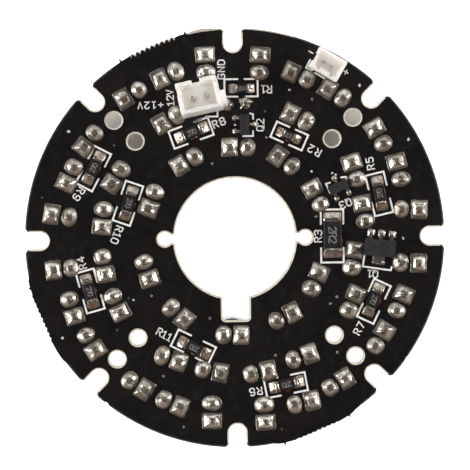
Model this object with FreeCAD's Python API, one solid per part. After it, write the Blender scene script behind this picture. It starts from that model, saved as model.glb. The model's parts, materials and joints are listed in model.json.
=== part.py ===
import FreeCAD, Part
import math
import os

# Infrared illuminator board of a camera: a round circuit board, solder side up,
# lying on its 48 lamps. Millimetres. Origin under the board's centre, at the
# level of the lamps' tips. +Z up, towards the solder side.

V = FreeCAD.Vector
os.makedirs("parts", exist_ok=True)

# ---------------------------------------------------------------- dimensions
BOARD_R = 29.90          # outer radius
BOARD_T = 1.60           # board thickness
BEVEL = 0.22             # slanted break along the solder side of the rim and of every cut-out
LENS_HOLE_R = 8.62       # central hole for the camera's lens barrel
LENS_COLLAR_R = 11.65    # kept free of solder for the barrel's collar
KEY_W, KEY_R, KEY_CORNER = 3.84, 11.74, 0.45   # key slot: width, reach from centre, corner radius
SIDE_NOTCH_R, SIDE_NOTCH_X, SIDE_NECK = 1.00, 10.0, 1.20
RIM_SLOTS, RIM_SLOT_R, RIM_SLOT_BOTTOM = 8, 1.22, 26.56
RIM_SLOT_LIP = 0.70      # rounding at the mouth of each rim slot
SCREW_OUTER, SCREW_INNER, SCREW_R = 17.0, 14.0, 1.12

LED_H = 8.60             # lamp height, tip to flange
LED_R = 2.50
LED_FLANGE_R, LED_FLANGE_T = 2.76, 1.00
LED_PITCH = 2.54
LEAD = 0.50              # square lead
LEAD_HOLE_R = 0.45

SQ_LONG, SQ_SHORT = 2.95, 2.36   # square pad joint, across and along the pair of leads
ROUND_R, ROUND_S = 1.10, 0.35    # oval pad joint: end radius, and half the distance of the end centres
JOINT_H = 0.95

Z_BOT = LED_H                    # lamp side of the board
Z_TOP = LED_H + BOARD_T          # solder side of the board

# lamp centres and the direction from the round pad to the square pad, degrees
OUTER = [
    (-3.88, 24.91, 93), (-9.25, 23.34, -156), (-14.47, 20.67, -150),
    (-20.55, 14.24, -128), (-23.31, 9.29, -116), (-24.80, 3.57, 170),
    (-24.65, -4.05, -174), (-23.34, -9.59, -74), (-20.73, -14.61, -58),
    (-14.23, -20.74, -33), (-9.31, -23.41, -24), (-3.60, -24.78, -91),
    (3.96, -25.08, -86), (9.45, -23.60, 12), (14.39, -20.88, 31),
    (20.53, -14.54, 58), (23.48, -9.47, 65), (24.87, -3.86, -2),
    (25.04, 3.79, -2), (23.44, 9.35, 104), (20.70, 14.32, 119),
    (14.55, 20.45, 148), (9.42, 23.02, 155), (3.83, 24.77, 86),
]
MIDDLE = [
    (-9.16, 17.02, -151), (-16.76, 9.02, -124), (-18.76, 3.13, -97),
    (-18.70, -3.63, -81), (-16.96, -9.17, -65), (-9.41, -17.03, -20),
    (-3.59, -18.89, -12), (3.27, -19.19, 11), (9.28, -17.03, 19),
    (16.65, -9.36, 65), (16.82, -3.18, 80), (18.42, 3.47, 99),
    (17.14, 9.39, 108), (9.23, 17.08, 153),
]
INNER = [
    (-6.66, 11.06, -150), (-11.78, 5.61, -112), (-12.63, -4.42, -72),
    (-8.29, -10.62, -42), (-0.54, -13.80, -2), (6.90, -11.27, 27),
    (11.35, -6.16, 65), (11.68, 5.80, 117), (7.23, 10.91, 143),
    (0.67, 12.92, 179),
]

# plated through holes of the board, open
VIA_R = 0.17
VIAS = [
    (-23.51, 15.51), (-3.14, 10.69), (7.97, 21.01), (18.01, 21.45), (24.89, 13.67), (13.93, 9.11), (11.57, 2.95),
    (23.92, -0.27), (-14.57, -8.60), (-12.00, -8.06), (-24.75, -13.88), (-3.71, -11.30), (-10.51, -19.55),
    (5.62, -16.84), (14.38, -16.53), (14.41, -8.55), (13.55, -9.54), (-7.69, -26.85), (11.22, 19.69), (4.60, 14.36),
]

# chip resistors: name, centre x, y, angle of the long axis, length, width, height
CHIPS = [
    ("r1", 1.22, 21.30, 0.0, 2.00, 1.25, 0.50),
    ("r2", 7.80, 14.50, -24.0, 2.00, 1.25, 0.50),
    ("r3", 13.89, 0.29, -90.0, 5.00, 2.50, 0.55),
    ("r4", -20.80, -7.27, -75.0, 3.20, 1.60, 0.55),
    ("r5", 20.68, 6.12, -80.0, 3.20, 1.60, 0.55),
    ("r6", 7.10, -20.95, 13.0, 3.20, 1.60, 0.55),
    ("r7", 19.66, -9.03, -113.5, 3.20, 1.60, 0.55),
    ("r8", -5.96, 15.14, 22.0, 3.20, 1.60, 0.55),
    ("r9", -19.95, 10.30, -118.0, 3.20, 1.60, 0.55),
    ("r10", -15.05, 5.22, -107.0, 3.20, 1.60, 0.55),
    ("r11", -6.02, -15.55, -26.8, 3.20, 1.60, 0.55),
]
CAP_T = 0.05             # plating thickness of an end cap
FILLET_L = {"r1": 0.85, "r2": 0.85, "r3": 0.80}   # reach of the end fillets, others 0.95

Q1_POS = (20.62, -1.63, -6.5)
Q2_POS = (1.56, 16.18, 0.0)
Q3_POS = (14.83, 7.11, 25.8)

POWER_POS = (-4.65, 19.86, 12.0)      # base centre and turn of the supply connector
POWER_L, POWER_W, POWER_H = 5.90, 4.50, 6.00
POWER_WALL, POWER_FLOOR, POWER_PITCH = 0.62, 1.50, 2.00
POWER_LEAN_N, POWER_LEAN_W = 6.0, 2.0  # degrees the housing leans

IRC_POS = (13.42, 24.52, -30.5)       # filter-switch connector
IRC_L, IRC_W, IRC_H = 4.45, 3.25, 4.10
IRC_WALL, IRC_FLOOR, IRC_PITCH = 0.45, 1.20, 1.25

SENSOR_POS = (0.43, 19.11, 5.7)       # light sensor, on the lamp side
SENSOR_R, SENSOR_FLAT, SENSOR_T = 2.55, 2.15, 1.60
SENSOR_PITCH = 2.52
SENSOR_DROP = 2.60                    # gap between the board and the sensor's back


# ------------------------------------------------------------------- helpers
def box(x0, y0, z0, x1, y1, z1):
    return Part.makeBox(x1 - x0, y1 - y0, z1 - z0, V(x0, y0, z0))


def cyl(r, z0, z1, x=0.0, y=0.0):
    return Part.makeCylinder(r, z1 - z0, V(x, y, z0))


def place(shape, x, y, ang, z=0.0):
    s = shape.copy()
    s.rotate(V(0, 0, 0), V(0, 0, 1), ang)
    s.translate(V(x, y, z))
    return s


def one(shape):
    """The single solid of a boolean's result."""
    s = shape.removeSplitter() if hasattr(shape, "removeSplitter") else shape
    sol = s.Solids
    assert len(sol) == 1, len(sol)
    return sol[0]


def loft_rect(a0, b0, z0, a1, b1, z1):
    """Frustum between two centred rectangles."""
    def wire(a, b, z):
        p = [V(-a / 2, -b / 2, z), V(a / 2, -b / 2, z), V(a / 2, b / 2, z), V(-a / 2, b / 2, z)]
        return Part.makePolygon(p + [p[0]])
    return Part.makeLoft([wire(a0, b0, z0), wire(a1, b1, z1)], True, True)


def prism(points, width, axis_y=True):
    """Extrude an XZ outline by width along Y, centred."""
    pts = [V(p[0], -width / 2, p[1]) for p in points]
    face = Part.Face(Part.makePolygon(pts + [pts[0]]))
    return face.extrude(V(0, width, 0))


def save(name, solids):
    solids = list(solids) if isinstance(solids, (list, tuple)) else [solids]
    flat = []
    for s in solids:
        flat += s.Solids
    for s in flat:
        assert s.isValid() and s.Volume > 0, name
    shape = flat[0] if len(flat) == 1 else Part.makeCompound(flat)
    shape.exportStep("parts/%s.step" % name)
    print("%-30s %3d solids %9.3f mm3" % (name, len(flat), sum(s.Volume for s in flat)))


def wobble(i, k=1.0):
    """Repeatable spread between -1 and 1."""
    return math.sin(i * 12.9898 * k + 4.1414) * 0.6 + math.sin(i * 3.7 * k + 1.3) * 0.4


# --------------------------------------------------------------------- board
def rim_point(deg, r):
    a = math.radians(deg)
    return V(r * math.cos(a), r * math.sin(a), Z_BOT)


# Snapped-off stretches of the rim, in degrees and millimetres beyond BOARD_R:
# a base line, a span of small teeth (from, to, pitch, depth), and thin spikes.
ROUGH = [
    {"base": [(94.5, 0.0), (96.0, 0.16), (97.5, 0.24), (99.0, 0.25), (100.5, 0.21), (101.5, 0.12), (102.2, 0.02), (105.0, 0.02),
              (107.0, -0.03), (110.0, -0.07), (112.5, -0.09), (115.0, -0.07), (118.0, -0.02), (120.0, 0.0), (125.0, 0.0)],
     "teeth": (106.1, 119.2, 1.45, 0.26), "spikes": [(103.0, 0.42), (122.1, 0.48)]},
    {"base": [(189.5, 0.0), (190.4, 0.03), (191.0, 0.15), (196.0, 0.10), (198.0, -0.03), (202.0, -0.13), (205.0, -0.12),
              (208.0, 0.0), (209.5, 0.11), (212.0, 0.16), (214.5, 0.15), (215.5, 0.0), (216.5, 0.0)],
     "teeth": (194.6, 209.2, 1.45, 0.16), "spikes": [(193.0, 0.26)]},
    {"base": [(280.0, 0.0), (280.8, 0.10), (282.0, 0.20), (286.0, 0.21), (288.0, 0.10), (291.0, 0.04), (294.0, 0.0),
              (296.5, 0.07), (299.0, 0.19), (302.8, 0.22), (304.6, 0.02), (306.0, 0.0)],
     "teeth": (287.0, 299.6, 1.45, 0.15), "spikes": [(283.0, 0.42), (302.1, 0.32)]},
    {"base": [(229.9, 0.0), (230.6, -0.03), (231.1, -0.19), (231.6, -0.20), (232.2, -0.05), (232.9, 0.0)],
     "teeth": None, "spikes": []},
    {"base": [(323.2, 0.0), (323.9, -0.08), (324.5, -0.09), (325.2, 0.0)], "teeth": None, "spikes": []},
]


def rough_run(run, kind):
    base = run["base"]

    def level(a):
        for (p, q) in zip(base, base[1:]):
            if p[0] <= a <= q[0]:
                return p[1] + (q[1] - p[1]) * (a - p[0]) / (q[0] - p[0])
        return 0.0

    pts = [(a, h) for (a, h) in base[1:-1]]
    if run["teeth"]:
        t0, t1, pitch, depth = run["teeth"]
        pts = [p for p in pts if not t0 - 0.2 <= p[0] <= t1 + 0.2]
        n = int(round((t1 - t0) / pitch))
        for i in range(n):
            a = t0 + (t1 - t0) * i / n
            d = depth * (1.0 + 0.35 * wobble(i + 17 * kind))
            w = (t1 - t0) / n
            pts.append((a, level(a) - d * 0.5))
            pts.append((a + w * (0.48 + 0.06 * wobble(i + 5, 1.7)), level(a + w * 0.5) + d * 0.5))
            pts.append((a + w * 0.66, level(a + w * 0.66) + d * 0.32))
    for (a, h) in run["spikes"]:
        pts = [p for p in pts if abs(p[0] - a) > 0.55]
        pts += [(a - 0.36, level(a)), (a - 0.07, level(a) + h), (a + 0.09, level(a) + h * 0.9), (a + 0.32, level(a))]
    return [rim_point(a, BOARD_R + h) for (a, h) in sorted(pts)]


def make_board():
    z0, z1 = Z_BOT - 1.0, Z_TOP + 1.0
    disc = cyl(BOARD_R, Z_BOT, Z_TOP)
    # rim slots, with rounded mouths
    slots = []
    rc = RIM_SLOT_BOTTOM + RIM_SLOT_R
    for k in range(RIM_SLOTS):
        s = cyl(RIM_SLOT_R, z0, z1, rc, 0).fuse(box(rc, -RIM_SLOT_R, z0, BOARD_R + 2, RIM_SLOT_R, z1))
        slots.append(place(one(s), 0, 0, 45.0 * k))
    disc = disc.cut(slots)
    lips = []
    for e in disc.Edges:
        if abs(e.BoundBox.ZLength - BOARD_T) > 1e-6 or e.BoundBox.XLength > 1e-6 or e.BoundBox.YLength > 1e-6:
            continue
        p = e.Vertexes[0].Point
        if math.hypot(p.x, p.y) > BOARD_R - 0.05:
            a = math.degrees(math.atan2(p.y, p.x)) % 45.0
            a = min(a, 45.0 - a)
            if abs(math.radians(a) * BOARD_R - RIM_SLOT_R) < 0.05:
                lips.append(e)
    print("rim slot lips", len(lips))
    disc = disc.makeFillet(RIM_SLOT_LIP, lips)
    # openings
    cuts = [cyl(LENS_HOLE_R, z0, z1)]
    key = box(-KEY_W / 2, -KEY_R, z0, KEY_W / 2, 0, z1)
    corners = [e for e in key.Edges if e.BoundBox.ZLength > 1 and abs(e.BoundBox.YMin + KEY_R) < 1e-6]
    cuts.append(key.makeFillet(KEY_CORNER, corners))
    for s in (-1, 1):
        cuts.append(cyl(SIDE_NOTCH_R, z0, z1, s * SIDE_NOTCH_X, 0))
        cuts.append(box(min(s * 7.5, s * SIDE_NOTCH_X), -SIDE_NECK / 2, z0, max(s * 7.5, s * SIDE_NOTCH_X), SIDE_NECK / 2, z1))
    disc = disc.cut(cuts)
    cuts = []
    for s in (-1, 1):
        for t in (-1, 1):
            cuts.append(cyl(SCREW_R, z0, z1, s * SCREW_OUTER, t * SCREW_OUTER))
            cuts.append(cyl(SCREW_R, z0, z1, s * SCREW_INNER, t * SCREW_INNER))
    disc = one(disc.cut(cuts))
    # slanted break along the solder side: wide at the cut-outs, thin at the rim
    top = [e for e in disc.Edges if abs(e.BoundBox.ZMin - Z_TOP) < 1e-6 and abs(e.BoundBox.ZMax - Z_TOP) < 1e-6]
    print("bevelled edges", len(top))
    disc = disc.makeChamfer(BEVEL, top)
    # snapped-off stretches of the rim
    out, add = [], []
    for k in range(len(ROUGH)):
        a0, a1 = ROUGH[k]["base"][0][0], ROUGH[k]["base"][-1][0]
        pts = rough_run(ROUGH[k], k)
        pts = [rim_point(a0, BOARD_R - 0.02)] + pts + [rim_point(a1, BOARD_R - 0.02)]
        n = 24
        back = [rim_point(a1 + (a0 - a1) * i / n, BOARD_R - 1.2) for i in range(n + 1)]
        far = [rim_point(a1 + (a0 - a1) * i / n, BOARD_R + 1.5) for i in range(n + 1)]
        add.append(Part.Face(Part.makePolygon(pts + back + [pts[0]])).extrude(V(0, 0, BOARD_T)))
        out.append(Part.Face(Part.makePolygon(pts + far + [pts[0]])).extrude(V(0, 0, BOARD_T + 2)).translated(V(0, 0, -1)))
    disc = disc.fuse(add)
    disc = disc.cut(out)
    # lead holes
    holes = []
    for (x, y, a) in OUTER + MIDDLE + INNER:
        for s in (-1, 1):
            u = math.radians(a)
            holes.append(cyl(LEAD_HOLE_R, z0, z1, x + s * LED_PITCH / 2 * math.cos(u), y + s * LED_PITCH / 2 * math.sin(u)))
    for (x, y) in VIAS:
        holes.append(cyl(VIA_R, z0, z1, x, y))
    x, y, a = SENSOR_POS
    for s in (-1, 1):
        u = math.radians(a)
        holes.append(cyl(0.40, z0, z1, x + s * SENSOR_PITCH / 2 * math.cos(u), y + s * SENSOR_PITCH / 2 * math.sin(u)))
    for p in power_hole_centres():
        holes.append(cyl(POWER_HOLE_R, z0, z1, p[0], p[1]))
    x, y, a = IRC_POS
    for s in (-1, 1):
        u = math.radians(a)
        holes.append(cyl(IRC_HOLE_R, z0, z1, x + s * IRC_PITCH / 2 * math.cos(u), y + s * IRC_PITCH / 2 * math.sin(u)))
    return one(disc.cut(holes))


# --------------------------------------------------------------------- lamps
# A lamp points down. Its own frame: flange on z = 0, tip at z = -LED_H, anode on
# +X (square pad), cathode on -X (round pad, and the flat of the flange).
def led_anode(top):
    p = LED_PITCH / 2
    pin = box(p - LEAD / 2, -LEAD / 2, -3.0, p + LEAD / 2, LEAD / 2, top)
    post = prism([(0.62, -2.3), (p + 0.45, -2.3), (p + 0.45, -4.1), (0.95, -4.7), (0.62, -4.7)], 0.44)
    return one(pin.fuse(post))


def led_cathode(top):
    p = LED_PITCH / 2
    pin = box(-p - LEAD / 2, -LEAD / 2, -3.0, -p + LEAD / 2, LEAD / 2, top)
    anvil = prism([(-p - 0.45, -2.3), (0.28, -2.3), (0.28, -2.9), (0.28, -4.2), (-p - 0.1, -4.2), (-p - 0.45, -3.2)], 0.44)
    cup = cyl(0.40, -5.0, -4.0).fuse(Part.makeCone(0.66, 0.42, 1.0, V(0, 0, -5.2)))
    bowl = Part.makeCone(0.58, 0.32, 0.45, V(0, 0, -5.2))
    gap = box(0.45, -1, -6, 2, 1, -2)
    cup = cup.cut(gap)
    return one(pin.fuse(anvil).fuse(cup).cut(bowl))


def led_die():
    return box(-0.16, -0.16, -4.93, 0.16, 0.16, -4.75)


def led_lens():
    body = cyl(LED_R, -(LED_H - LED_R), 0).fuse(Part.makeSphere(LED_R, V(0, 0, -(LED_H - LED_R))))
    flange = cyl(LED_FLANGE_R, -LED_FLANGE_T, 0).cut(box(-4, -4, -2, -LED_R, 4, 1))
    body = one(body.fuse(flange))
    return one(body.cut([led_anode(1.0), led_cathode(1.0), led_die()]))


def joint_square(i):
    """Solder on a square pad and down the plated hole, round the lead."""
    h = JOINT_H + 0.05 * wobble(i)
    top = loft_rect(SQ_SHORT, SQ_LONG, 0, 0.86, 0.86, h)
    plug = cyl(LEAD_HOLE_R, -BOARD_T, 0.2)
    return one(top.fuse(plug).cut(box(-LEAD / 2, -LEAD / 2, -3, LEAD / 2, LEAD / 2, 3)))


def joint_round(i):
    h = JOINT_H + 0.05 * wobble(i, 1.4)
    top = loft_rect(2 * ROUND_R, 2 * ROUND_S, 0, 0.76, 2 * ROUND_S, h)
    for t in (-1, 1):
        top = top.fuse(Part.makeCone(ROUND_R, 0.38, h, V(0, t * ROUND_S, 0)))
    plug = cyl(LEAD_HOLE_R, -BOARD_T, 0.2)
    return one(top.fuse(plug).cut(box(-LEAD / 2, -LEAD / 2, -3, LEAD / 2, LEAD / 2, 3)))


def keepouts():
    """Space over the board that other parts take, where a lamp's solder stops short."""
    out = [cyl(LENS_COLLAR_R, Z_TOP, Z_TOP + 2.0)]
    for (name, x, y, a, L, W, H) in CHIPS:
        r = L / 2 + FILLET_L.get(name, 0.95) + 0.03
        out.append(place(box(-r, -W / 2 - 0.08, 0, r, W / 2 + 0.08, 2.0), x, y, a, Z_TOP))
    for (x, y, a) in (Q2_POS, (Q3_POS[0], Q3_POS[1], Q3_POS[2] + 90.0)):
        out.append(place(box(-0.71, -1.50, 0, 0.71, 1.50, 2.0), x, y, a, Z_TOP))
        for (s, yy) in ((-1, -0.95), (-1, 0.95), (1, 0.0)):
            out.append(place(box(min(0, s * 1.78), yy - 0.33, 0, max(0, s * 1.78), yy + 0.33, 2.0), x, y, a, Z_TOP))
    x, y, a = Q1_POS
    out.append(place(box(-2.28, -1.28, 0, 2.28, 1.28, 2.0), x, y, a, Z_TOP))
    out.append(place(box(-0.98, -2.44, 0, 0.98, 0, 2.0), x, y, a, Z_TOP))
    for xx in (-1.5, 0.0, 1.5):
        out.append(place(box(xx - 0.34, 0, 0, xx + 0.34, 2.59, 2.0), x, y, a, Z_TOP))
    L, W = POWER_L / 2 + 0.04, POWER_W / 2 + 0.04
    out.append(power_place(box(-L, -W, -0.6, L, W, 2.0)).common(box(-40, -40, Z_TOP, 40, 40, Z_TOP + 3)))
    x, y, a = IRC_POS
    L, W = IRC_L / 2 + 0.04, IRC_W / 2 + 0.04
    out.append(place(box(-L, -W, 0, L, W, 2.0), x, y, a, Z_TOP))
    x, y, a = SENSOR_POS
    for s in (-1, 1):
        out.append(place(cyl(0.98, 0, 1.0, s * SENSOR_PITCH / 2, 0), x, y, a, Z_TOP))
    return out


def clear(joint, others):
    """The joint without what lies in the space of others; crumbs are dropped."""
    b = joint.BoundBox
    hit = [o for o in others if o.BoundBox.intersect(b)]
    if not hit:
        return joint
    sol = joint.cut(hit).Solids
    return max(sol, key=lambda s: s.Volume)


def make_lamps():
    lens, die = led_lens(), led_die()
    squares, rounds, laid = [], [], []
    taken = keepouts()
    k = 0
    for ring, rows in (("outer", OUTER), ("middle", MIDDLE), ("inner", INNER)):
        lenses, anodes, cathodes, dies = [], [], [], []
        for (x, y, a) in rows:
            ta = BOARD_T + 1.10 + 0.09 * wobble(k, 2.1)
            tc = BOARD_T + 1.10 + 0.09 * wobble(k, 2.9)
            lenses.append(place(lens, x, y, a, Z_BOT))
            dies.append(place(die, x, y, a, Z_BOT))
            anodes.append(place(led_anode(ta), x, y, a, Z_BOT))
            cathodes.append(place(led_cathode(tc), x, y, a, Z_BOT))
            u = math.radians(a)
            dx, dy = LED_PITCH / 2 * math.cos(u), LED_PITCH / 2 * math.sin(u)
            for row, joint, s in ((squares, joint_square(k), 1), (rounds, joint_round(k), -1)):
                j = place(joint, x + s * dx, y + s * dy, a, Z_TOP)
                j = clear(clear(j, taken), laid)
                row.append(j)
                laid.append(j)
            k += 1
        save(ring + "_led_lenses", lenses)
        save(ring + "_led_anode_leads", anodes)
        save(ring + "_led_cathode_leads", cathodes)
        save(ring + "_led_dies", dies)
    save("led_square_pad_solder", squares)
    save("led_round_pad_solder", rounds)


# ------------------------------------------------------------- chip resistors
def make_chips():
    fillets = []
    for (name, x, y, a, L, W, H) in CHIPS:
        cap = {2.0: 0.38, 3.2: 0.48, 5.0: 0.60}[L]
        core = box(-L / 2 + CAP_T, -W / 2, CAP_T, L / 2 - CAP_T, W / 2, H - CAP_T)
        glaze = box(-L / 2 + cap, -W / 2 + 0.04, H - CAP_T, L / 2 - cap, W / 2 - 0.04, H - 0.01)
        body = one(core.fuse(glaze))
        caps = []
        for s in (-1, 1):
            outer = box(-L / 2, -W / 2, 0, -L / 2 + cap, W / 2, H)
            c = one(outer.cut(core))
            caps.append(c if s < 0 else c.mirror(V(0, 0, 0), V(1, 0, 0)))
        fl = FILLET_L.get(name, 0.95)
        hw = W + 0.10
        f = prism([(L / 2, 0), (L / 2 + fl, 0), (L / 2 + fl, 0.08), (L / 2 + 0.45 * fl, 0.24), (L / 2, H * 0.92)], hw)
        fillets.append(place(f, x, y, a, Z_TOP))
        fillets.append(place(f, x, y, a + 180.0, Z_TOP))
        save(name + "_body", place(body, x, y, a, Z_TOP))
        save(name + "_end_caps", [place(c, x, y, a, Z_TOP) for c in caps])
    save("chip_resistor_solder", fillets)


# ---------------------------------------------------------------- transistors
def gull(x0, x1, foot, zmid, w, t):
    """Lead in the XZ plane from inside the package at x0 to the toe at foot."""
    s = box(x0, -w / 2, zmid - t / 2, x1, w / 2, zmid + t / 2)
    s = s.fuse(box(x1 - t, -w / 2, 0, x1, w / 2, zmid + t / 2))
    s = s.fuse(box(x1 - t, -w / 2, 0, foot, w / 2, t))
    return one(s)


def make_transistors():
    solder = []

    def toe(px, py, ang, w, reach=0.42, h=0.30):
        f = prism([(0, 0), (reach, 0), (reach, 0.05), (reach * 0.45, 0.13), (0, h)], w)
        f.rotate(V(0, 0, 0), V(0, 0, 1), ang)
        f.translate(V(px, py, 0))
        return f

    # Q2, Q3: long side along Y for Q2, two leads on -X, one on +X
    pack = loft_rect(1.24, 2.82, 0.10, 1.36, 2.94, 0.62).fuse(loft_rect(1.36, 2.94, 0.62, 1.20, 2.78, 1.05))
    pack = one(pack)
    legs = []
    for (s, yy) in ((-1, -0.95), (-1, 0.95), (1, 0.0)):
        g = gull(0.35, 0.92, 1.32, 0.58, 0.42, 0.13)
        g.translate(V(0, 0, 0))
        if s < 0:
            g.rotate(V(0, 0, 0), V(0, 0, 1), 180)
        g.translate(V(0, yy, 0))
        legs.append(g)
    pack = one(pack.cut(legs))
    toes = []
    for (s, yy) in ((-1, -0.95), (-1, 0.95), (1, 0.0)):
        toes.append(toe(s * 1.32, yy, 0 if s > 0 else 180, 0.60))
    for name, (x, y, a) in (("q2", Q2_POS), ("q3", (Q3_POS[0], Q3_POS[1], Q3_POS[2] + 90.0))):
        save(name + "_package", place(pack, x, y, a, Z_TOP))
        save(name + "_leads", [place(g, x, y, a, Z_TOP) for g in legs])
        solder += [place(t, x, y, a, Z_TOP) for t in toes]

    # Q1: long side along X, three flat leads on +Y, a tab on -Y
    body = one(loft_rect(4.50, 2.50, 0.0, 4.50, 2.50, 0.45).fuse(loft_rect(4.50, 2.50, 0.45, 4.34, 2.30, 1.50)))
    leads = []
    for xx in (-1.5, 1.5):
        leads.append(box(xx - 0.22, 0.75, 0.0, xx + 0.22, 2.15, 0.40))
    middle = box(-0.24, -0.9, 0.0, 0.24, 2.15, 0.40).fuse(box(-0.85, -1.85, 0.0, 0.85, 0.4, 0.40))
    leads.append(one(middle))
    body = one(body.cut(leads))
    x, y, a = Q1_POS
    save("q1_package", place(body, x, y, a, Z_TOP))
    save("q1_leads", [place(g, x, y, a, Z_TOP) for g in leads])
    for xx in (-1.5, 0, 1.5):
        solder.append(place(toe(xx, 2.15, 90, 0.62, 0.40, 0.34), x, y, a, Z_TOP))
    solder.append(place(toe(0, -1.85, -90, 1.90, 0.55, 0.34), x, y, a, Z_TOP))
    save("transistor_solder", solder)


# ----------------------------------------------------------------- connectors
POWER_HOLE_R = 0.52
IRC_HOLE_R = 0.38


def power_place(shape):
    """Turn, lean and set down on the board: the lowest edge just rests on it."""
    x, y, a = POWER_POS
    s = shape.copy()
    s.rotate(V(0, 0, 0), V(1, 0, 0), -POWER_LEAN_N)
    s.rotate(V(0, 0, 0), V(0, 1, 0), -POWER_LEAN_W)
    s.rotate(V(0, 0, 0), V(0, 0, 1), a)
    s.translate(V(x, y, Z_TOP + power_lift()))
    return s


def power_lift():
    return (POWER_W / 2 * math.sin(math.radians(POWER_LEAN_N)) * math.cos(math.radians(POWER_LEAN_W))
            + POWER_L / 2 * math.sin(math.radians(POWER_LEAN_W)) + 0.002)


def power_pin(s):
    p = box(s * POWER_PITCH / 2 - 0.25, -0.25, -3.15, s * POWER_PITCH / 2 + 0.25, 0.25, 4.70)
    tip = [e for e in p.Edges if e.BoundBox.ZLength < 1e-6 and abs(e.BoundBox.ZMin - 4.70) < 1e-6]
    return p.makeChamfer(0.12, tip)


def power_hole_centres():
    out = []
    zb = Z_TOP - BOARD_T / 2
    for s in (-1, 1):
        line = power_place(Part.LineSegment(V(s * POWER_PITCH / 2, 0, -3), V(s * POWER_PITCH / 2, 0, 4)).toShape())
        a, b = line.Vertexes[0].Point, line.Vertexes[-1].Point
        t = (zb - a.z) / (b.z - a.z)
        out.append((a.x + (b.x - a.x) * t, a.y + (b.y - a.y) * t))
    return out


def make_power():
    L, W, H, w, f = POWER_L, POWER_W, POWER_H, POWER_WALL, POWER_FLOOR
    shell = box(-L / 2, -W / 2, 0, L / 2, W / 2, H)
    vert = [e for e in shell.Edges if abs(e.BoundBox.ZLength - H) < 1e-6]
    shell = shell.makeFillet(0.22, vert)
    # locking ear on the east end, rear half
    shell = one(shell.fuse(box(L / 2 - 0.3, -W / 2 + 0.25, 1.5, L / 2 + 0.75, 0.10, 4.80)))
    cav = box(-L / 2 + w, -W / 2 + w, f, L / 2 - w, W / 2 - w, H + 1)
    cav = cav.makeFillet(0.18, [e for e in cav.Edges if e.BoundBox.ZLength > 1])
    slot = box(-0.58, W / 2 - w - 0.4, f + 0.6, 0.58, W / 2 + 1, H + 1)
    lead_in = loft_rect(L - 2 * w, W - 2 * w, H - 0.25, L - 2 * w + 0.5, W - 2 * w + 0.5, H + 0.01)
    under = box(-L / 2 + 0.9, -W / 2 - 1, -1, L / 2 - 0.9, W / 2 + 1, 0.25)   # relief under the base
    shell = shell.cut([cav, slot, lead_in, under])
    # small step on the end walls, front half
    shell = shell.cut([box(L / 2 - 0.35, 0.55, 3.4, L / 2 + 1, W / 2 - 0.75, H + 1),
                       box(-L / 2 - 1, 0.55, 3.4, -L / 2 + 0.35, W / 2 - 0.75, H + 1)])
    pins = [power_pin(-1), power_pin(1)]
    shell = one(shell.cut(pins))
    save("power_header_housing", power_place(shell))
    placed = [power_place(p) for p in pins]
    save("power_header_pins", placed)
    joints = []
    for (x, y), p in zip(power_hole_centres(), placed):
        j = cyl(POWER_HOLE_R, Z_BOT, Z_TOP, x, y).fuse(Part.makeCone(0.42, 0.88, 0.80, V(x, y, Z_BOT - 0.80)))
        joints.append(one(one(j).cut(p)))
    save("power_header_solder", joints)


def make_irc():
    x, y, a = IRC_POS
    L, W, H, w, f = IRC_L, IRC_W, IRC_H, IRC_WALL, IRC_FLOOR
    shell = box(-L / 2, -W / 2, 0, L / 2, W / 2, H)
    shell = shell.makeFillet(0.15, [e for e in shell.Edges if abs(e.BoundBox.ZLength - H) < 1e-6])
    cav = box(-L / 2 + w + 0.15, -W / 2 + w + 0.25, f, L / 2 - w - 0.15, W / 2 - w, H + 1)
    lead_in = loft_rect(L - 2 * w - 0.3, W - 2 * w - 0.25, H - 0.3, L - 2 * w + 0.25, W - 2 * w + 0.25, H + 0.01)
    lead_in.translate(V(0, 0.12, 0))
    keys = [box(s * 1.05 - 0.22, -W / 2 + 0.28, f + 0.6, s * 1.05 + 0.22, -W / 2 + w + 0.5, H + 1) for s in (-1, 1)]
    step = box(-L / 2 - 1, -0.6, -1, -L / 2 + 0.18, 0.6, H + 1)
    shell = shell.cut([cav, lead_in] + keys + [step])
    pins = []
    for s in (-1, 1):
        p = box(s * IRC_PITCH / 2 - 0.18, -0.18 + 0.12, -2.75, s * IRC_PITCH / 2 + 0.18, 0.18 + 0.12, 3.2)
        p.translate(V(0, -0.12, 0))
        tip = [e for e in p.Edges if e.BoundBox.ZLength < 1e-6 and abs(e.BoundBox.ZMin - 3.2) < 1e-6]
        pins.append(p.makeChamfer(0.09, tip))
    shell = one(shell.cut(pins))
    save("ircut_header_housing", place(shell, x, y, a, Z_TOP))
    placed = [place(p, x, y, a, Z_TOP) for p in pins]
    save("ircut_header_pins", placed)
    joints = []
    for s, p in zip((-1, 1), placed):
        u = math.radians(a)
        hx, hy = x + s * IRC_PITCH / 2 * math.cos(u), y + s * IRC_PITCH / 2 * math.sin(u)
        j = cyl(IRC_HOLE_R, Z_BOT, Z_TOP, hx, hy).fuse(Part.makeCone(0.30, 0.56, 0.62, V(hx, hy, Z_BOT - 0.62)))
        joints.append(one(one(j).cut(p)))
    save("ircut_header_solder", joints)


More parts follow.
